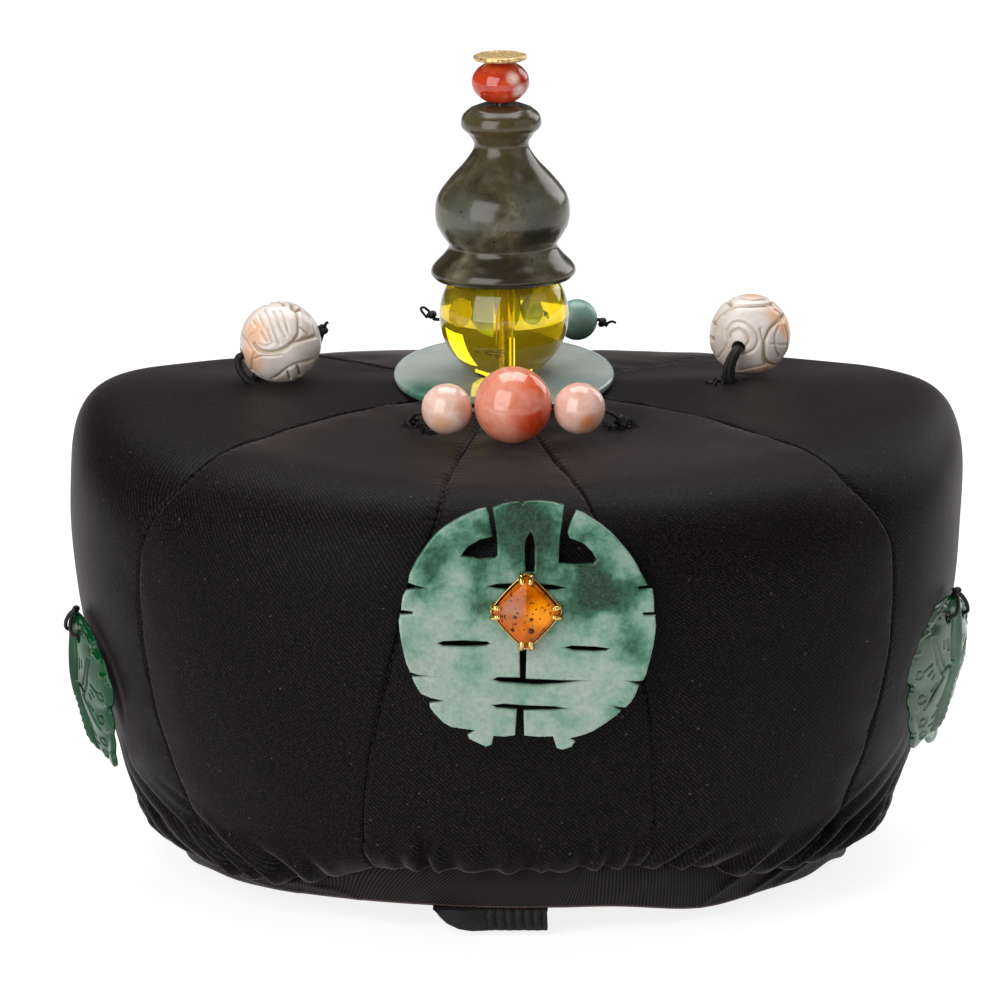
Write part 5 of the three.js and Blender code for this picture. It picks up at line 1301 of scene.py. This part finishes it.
def clearAmber():
    # clear yellow amber: light goes through, with a bright rim and a few cloudy lengths inside
    material, tree, point = newMaterial("clear yellow amber", (-3.3, 4.4, 150.9))
    cloud = addNode(tree, "TexNoise", sized(point, 6.0, 4.0, 0.6, 0.5))
    return surfaced(material, {
        "Base Color": addNode(tree, "ValToRGB", {0: cloud}, stops=[(0.3, "#fde620"), (0.7, "#f6d014")]),
        "Roughness": 0.02, "IOR": 1.54, "Transmission Weight": 0.87, "Coat Weight": 0.0})


# dark and pale clouds of the roundel: place on its face, radius and weight
jadeClouds = [
    (-7, 26, 8, 0.2), (3, 27, 9, 0.26), (2, 19, 8, 0.2), (-17, 19, 7, 0.16), (-25, 13, 6, 0.12), (13, 10, 7, 0.26),
    (20, 8, 6, 0.25), (26, 9, 5, 0.16), (-14, 6, 6, 0.14), (-27, 10, 5, 0.1), (18, 22, 8, 0.08), (24, -4, 7, 0.09),
    (6, -25, 4, 0.03), (-18, -14, 15, -0.07), (-8, -28, 9, -0.08), (-20, 8, 5, -0.12), (-29, -4, 9, -0.08),
    (14, -20, 12, -0.06),
]


def makeLooks():
    origin, axisU, axisV, out = medallionFrame()
    face = lambda u, v: tuple(origin + axisU * u + axisV * v + out * 3.6)
    onStone = lambda u, v: tuple(origin + axisU * u + axisV * v + out * 8.7)
    r = carvedBeads["radius"]
    onBead = lambda spec, x, y: tuple(np.array(spec["centre"]) + seenPoint(x, y) * r)
    carvedPatches = lambda spec: [(onBead(spec, *p), a * r, b * r, "#e7b491") for p, a, b in spec["patches"]]
    pale = [(0.3, "#cbbcb2"), (0.5, "#d8ccc4"), (0.7, "#e2d8d1")]
    return {
        "satin": blackSatin("black duchess satin", 0.07, 0.5, 0.17),
        "satinFront": blackSatin("black duchess satin, front gores", 0.06, 0.5, 0.55),
        "satinBack": blackSatin("black duchess satin, cross grain", 0.12, 0.45, 0.9, 0.2, "#cdbfc2"),
        "ribbon": ribbedRibbon(),
        # the ribbon's folded end, flat side out: close dull threads with no rib, so it takes no light of its own
        "fold": grained("black ribbon, folded end", "#100e0f", "#1f1c1d", (0.3, 0.8), (0.5, 2.0), 0.08,
                        {"Roughness": 0.6, "Specular IOR Level": 0.2}, (1, 0.4, 0.4)),
        # waxed cotton: black, with a dull shine along its twist
        "thread": grained("waxed black cotton thread", "#080808", "#1c1a1a", (0.3, 0.8), (0.25, 2.0), 0.1,
                          {"Roughness": 0.55, "Specular IOR Level": 0.3}),
        "clearAmber": clearAmber(),
        # the crack inside the amber: a bright yellow disc that catches the light
        "amberCrack": polished("inner crack of the amber", [(0.3, "#fff56e"), (0.7, "#f0dc3a")], 1.5, 0.3),
        # bark in the amber: small dark brown flecks
        "amberFleck": polished("brown fleck in the amber", [(0.3, "#1d0f04"), (0.7, "#4a2a0c")], 0.5, 0.5),
        # pale jade: milky and even under a wet polish, greener at one side
        "paleJade": polished(
            "pale grey-green jade", [(0.3, "#99a5a0"), (0.55, "#a6afab"), (0.75, "#b3b8b6")], 12, 0.07, patches=[
                ((-26, -15, 128), 13, 6, "#42705e"), ((-20, -18, 128), 9, 5, "#42705e"),
                ((18, -12, 130), 16, 8, "#899793")]),
        # olive jade: brown-green and mottled, with dark grains, a softer polish and a painted reflection on the
        # left of its belly
        "darkJade": polished(
            "dark olive jade",
            [(0.3, "#1b170b"), (0.43, "#352f1e"), (0.52, "#46402d"), (0.6, "#575240"), (0.7, "#757160")],
            10, 0.2, 0.5, 12.0, specks=(1.1, 0.67, "#1f190c"), extra={"IOR": 1.5}, patches=[
                # the pale grey patch at (-14, -8, 180), on the left of the belly, is a painted reflection of the
                # key softbox
                ((-4, -8, 203), 9, 6, "#4a3d26"), ((-14, -8, 180), 6, 5, "#52564a"),
                ((8, -12, 174), 6, 5, "#23281e"), ((-4, -16, 163), 9, 5, "#2f2a1c"),
                ((6, -12, 186), 6, 5, "#45483b")]),
        # coral: opaque and even, with pale patches on its front
        "redCoral": polished(
            "red coral", [(0.3, "#a3270e"), (0.55, "#bb3a1c"), (0.8, "#c9573a")], 5, 0.1, patches=[
                ((1.6, -2.2, 213.6), 2.0, 1.4, "#ecd8ce"), ((-0.5, -2.6, 218.2), 1.8, 1.2, "#e6c0b0"),
                ((-2.5, -3.6, 211.5), 1.4, 1.0, "#d98a70")]),
        # pink coral: opaque under a glossy skin, redder in two patches on the right of its front
        "pinkCoral": polished(
            "pink coral", [(0.3, "#cf7458"), (0.6, "#de9078"), (0.8, "#eaae9c")], 6, 0.09, patches=[
                ((5.5, -57, 133), 6, 4, "#c8401a"), ((5.5, -54, 143), 4.0, 3, "#d4562c")]),
        "paleCoralLeft": polished(
            "pale coral, left", [(0.3, "#d9ac9a"), (0.6, "#e6c4b6"), (0.8, "#eed4c8")], 5, 0.1, patches=[
                ((-20, -54.5, 132.5), 2.2, 2, "#dba67c"), ((-15, -54, 137), 1.8, 1.6, "#cf9a74")]),
        "paleCoralRight": polished(
            "pale coral, right", [(0.3, "#d6a18f"), (0.6, "#e3b9aa"), (0.8, "#eeccbe")], 5, 0.1, patches=[
                ((19.5, -54.5, 133), 2.6, 2, "#cf8354"), ((17, -52, 140), 1.8, 1.6, "#c98a66")]),
        # blue-green stone: dull and chalky
        "tealStone": polished("blue-green stone", [(0.3, "#668e86"), (0.7, "#8aada5")], 6, 0.35),
        # carved coral: cream and half dull, browner in the cuts
        **{"carved" + side.title(): polished(
            "carved cream coral, " + side, pale, 8, 0.26, patches=carvedPatches(carvedBeads[side]), cut="#a88f6c")
            for side in ("left", "right")},
        "mottledJade": cloudyJade("mottled green jade", [(face(u, v), *cloud) for u, v, *cloud in jadeClouds]),
        # orange amber: dark at its edges, with a painted glow, bright orange, at the upper right, a painted
        # reflection, grey-brown, at the upper left, and a few black specks
        "orangeAmber": polished(
            "orange amber", [(0.3, "#8a3c00"), (0.55, "#b85a02"), (0.8, "#dc7a08")], 5, 0.08,
            specks=(0.9, 0.63, "#140902"), extra={"IOR": 1.5, "Specular IOR Level": 0.22}, patches=[
                # a painted glow of light through the stone at the upper right, and a painted reflection of the key
                # softbox at the upper left
                (onStone(3.6, 2.5), 3.6, 2.0, "#ee8f08"), (onStone(-4.2, 3.6), 2.6, 2.2, "#9a6340"),
                (onStone(0.8, 1.2), 0.8, 0.25, "#120800"), (onStone(0.9, -1.8), 0.9, 0.3, "#120800"),
                (onStone(-4.0, -1.6), 0.6, 0.2, "#120800")]),
        # gold: warm and bright; gilding: paler, and worn off in the dents
        "gold": metal("yellow gold", "#f2cd84", "#b98c42", 0.16, 1.2, 0.03),
        "gilt": metal("rubbed gilding", "#f9dca0", "#9f7844", 0.42, 0.8, 0.16, 0.7),
        # deep green jade: nearly black with small bright highlights, lighter where it is thin
        "greenJade": polished(
            "deep green jade", [(0.3, "#012615"), (0.55, "#034122"), (0.8, "#0e5a33")], 9, 0.16, 0.8, 6.0,
            extra={"IOR": 1.48, "Specular IOR Level": 0.34}, cut="#02160b", thin="#013c1c"),
        # the same jade for the right butterfly: a lighter copy whose paler colours are painted highlights, with a
        # rougher polish and a stronger shine
        "greenJadeLitCopy": polished(
            "deep green jade, painted lighter, rougher polish", [(0.3, "#04301a"), (0.55, "#0b4c2b"), (0.8, "#2f7350")], 9, 0.24,
            0.8, 6.0, extra={"IOR": 1.5, "Specular IOR Level": 1.0}, cut="#02160b", thin="#013c1c"),
        # steel wire: grey, with a dull drawn shine
        "steel": metal("drawn steel wire", "#9a9a9c", "#6f6f72", 0.35, 0.8, 0.02),
    }


def floorStage():
    # smooth pale paper that gives back nearly all the light
    material = grained("pale studio paper", "#8e8e8e", "#949494", (0.3, 0.7), (40, 2.0), 0, {
        "Roughness": 0.9, "Specular IOR Level": 0.1, "Emission Color": (1, 1, 1, 1),
        "Emission Strength": studio["floor"]})
    mesh = bpy.data.meshes.new("floor")
    mesh.from_pydata([(-9, -9, 0), (9, -9, 0), (9, 9, 0), (-9, 9, 0)], [], [(0, 1, 2, 3)])
    mesh.materials.append(material)
    inScene("floor", mesh)


setUpStudio()
print("studio ready")
looks = makeLooks()
print("materials ready")
for name, seams in gores.items():
    gorePiece(name, seams, looks)
print("crown cloth made")
bandPiece(looks["ribbon"])
ribbonEnd(looks["fold"])
print("ribbon made")
topStack(looks)
beadRows(looks)
for side, look in (("left", "carvedLeft"), ("right", "carvedRight")):
    carvedBead(side, carvedBeads[side], looks[look])
print("stones made")
medallionPieces(looks)
for side in ("left", "right"):
    butterflyPiece(side, looks["greenJade" if side == "left" else "greenJadeLitCopy"])
print("medallion and butterflies made")
threadWork(looks)
allStitches(looks)
print("threads and stitches made")
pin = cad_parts["finial_pin"].data
pin.materials.clear()
pin.materials.append(looks["steel"])
floorStage()
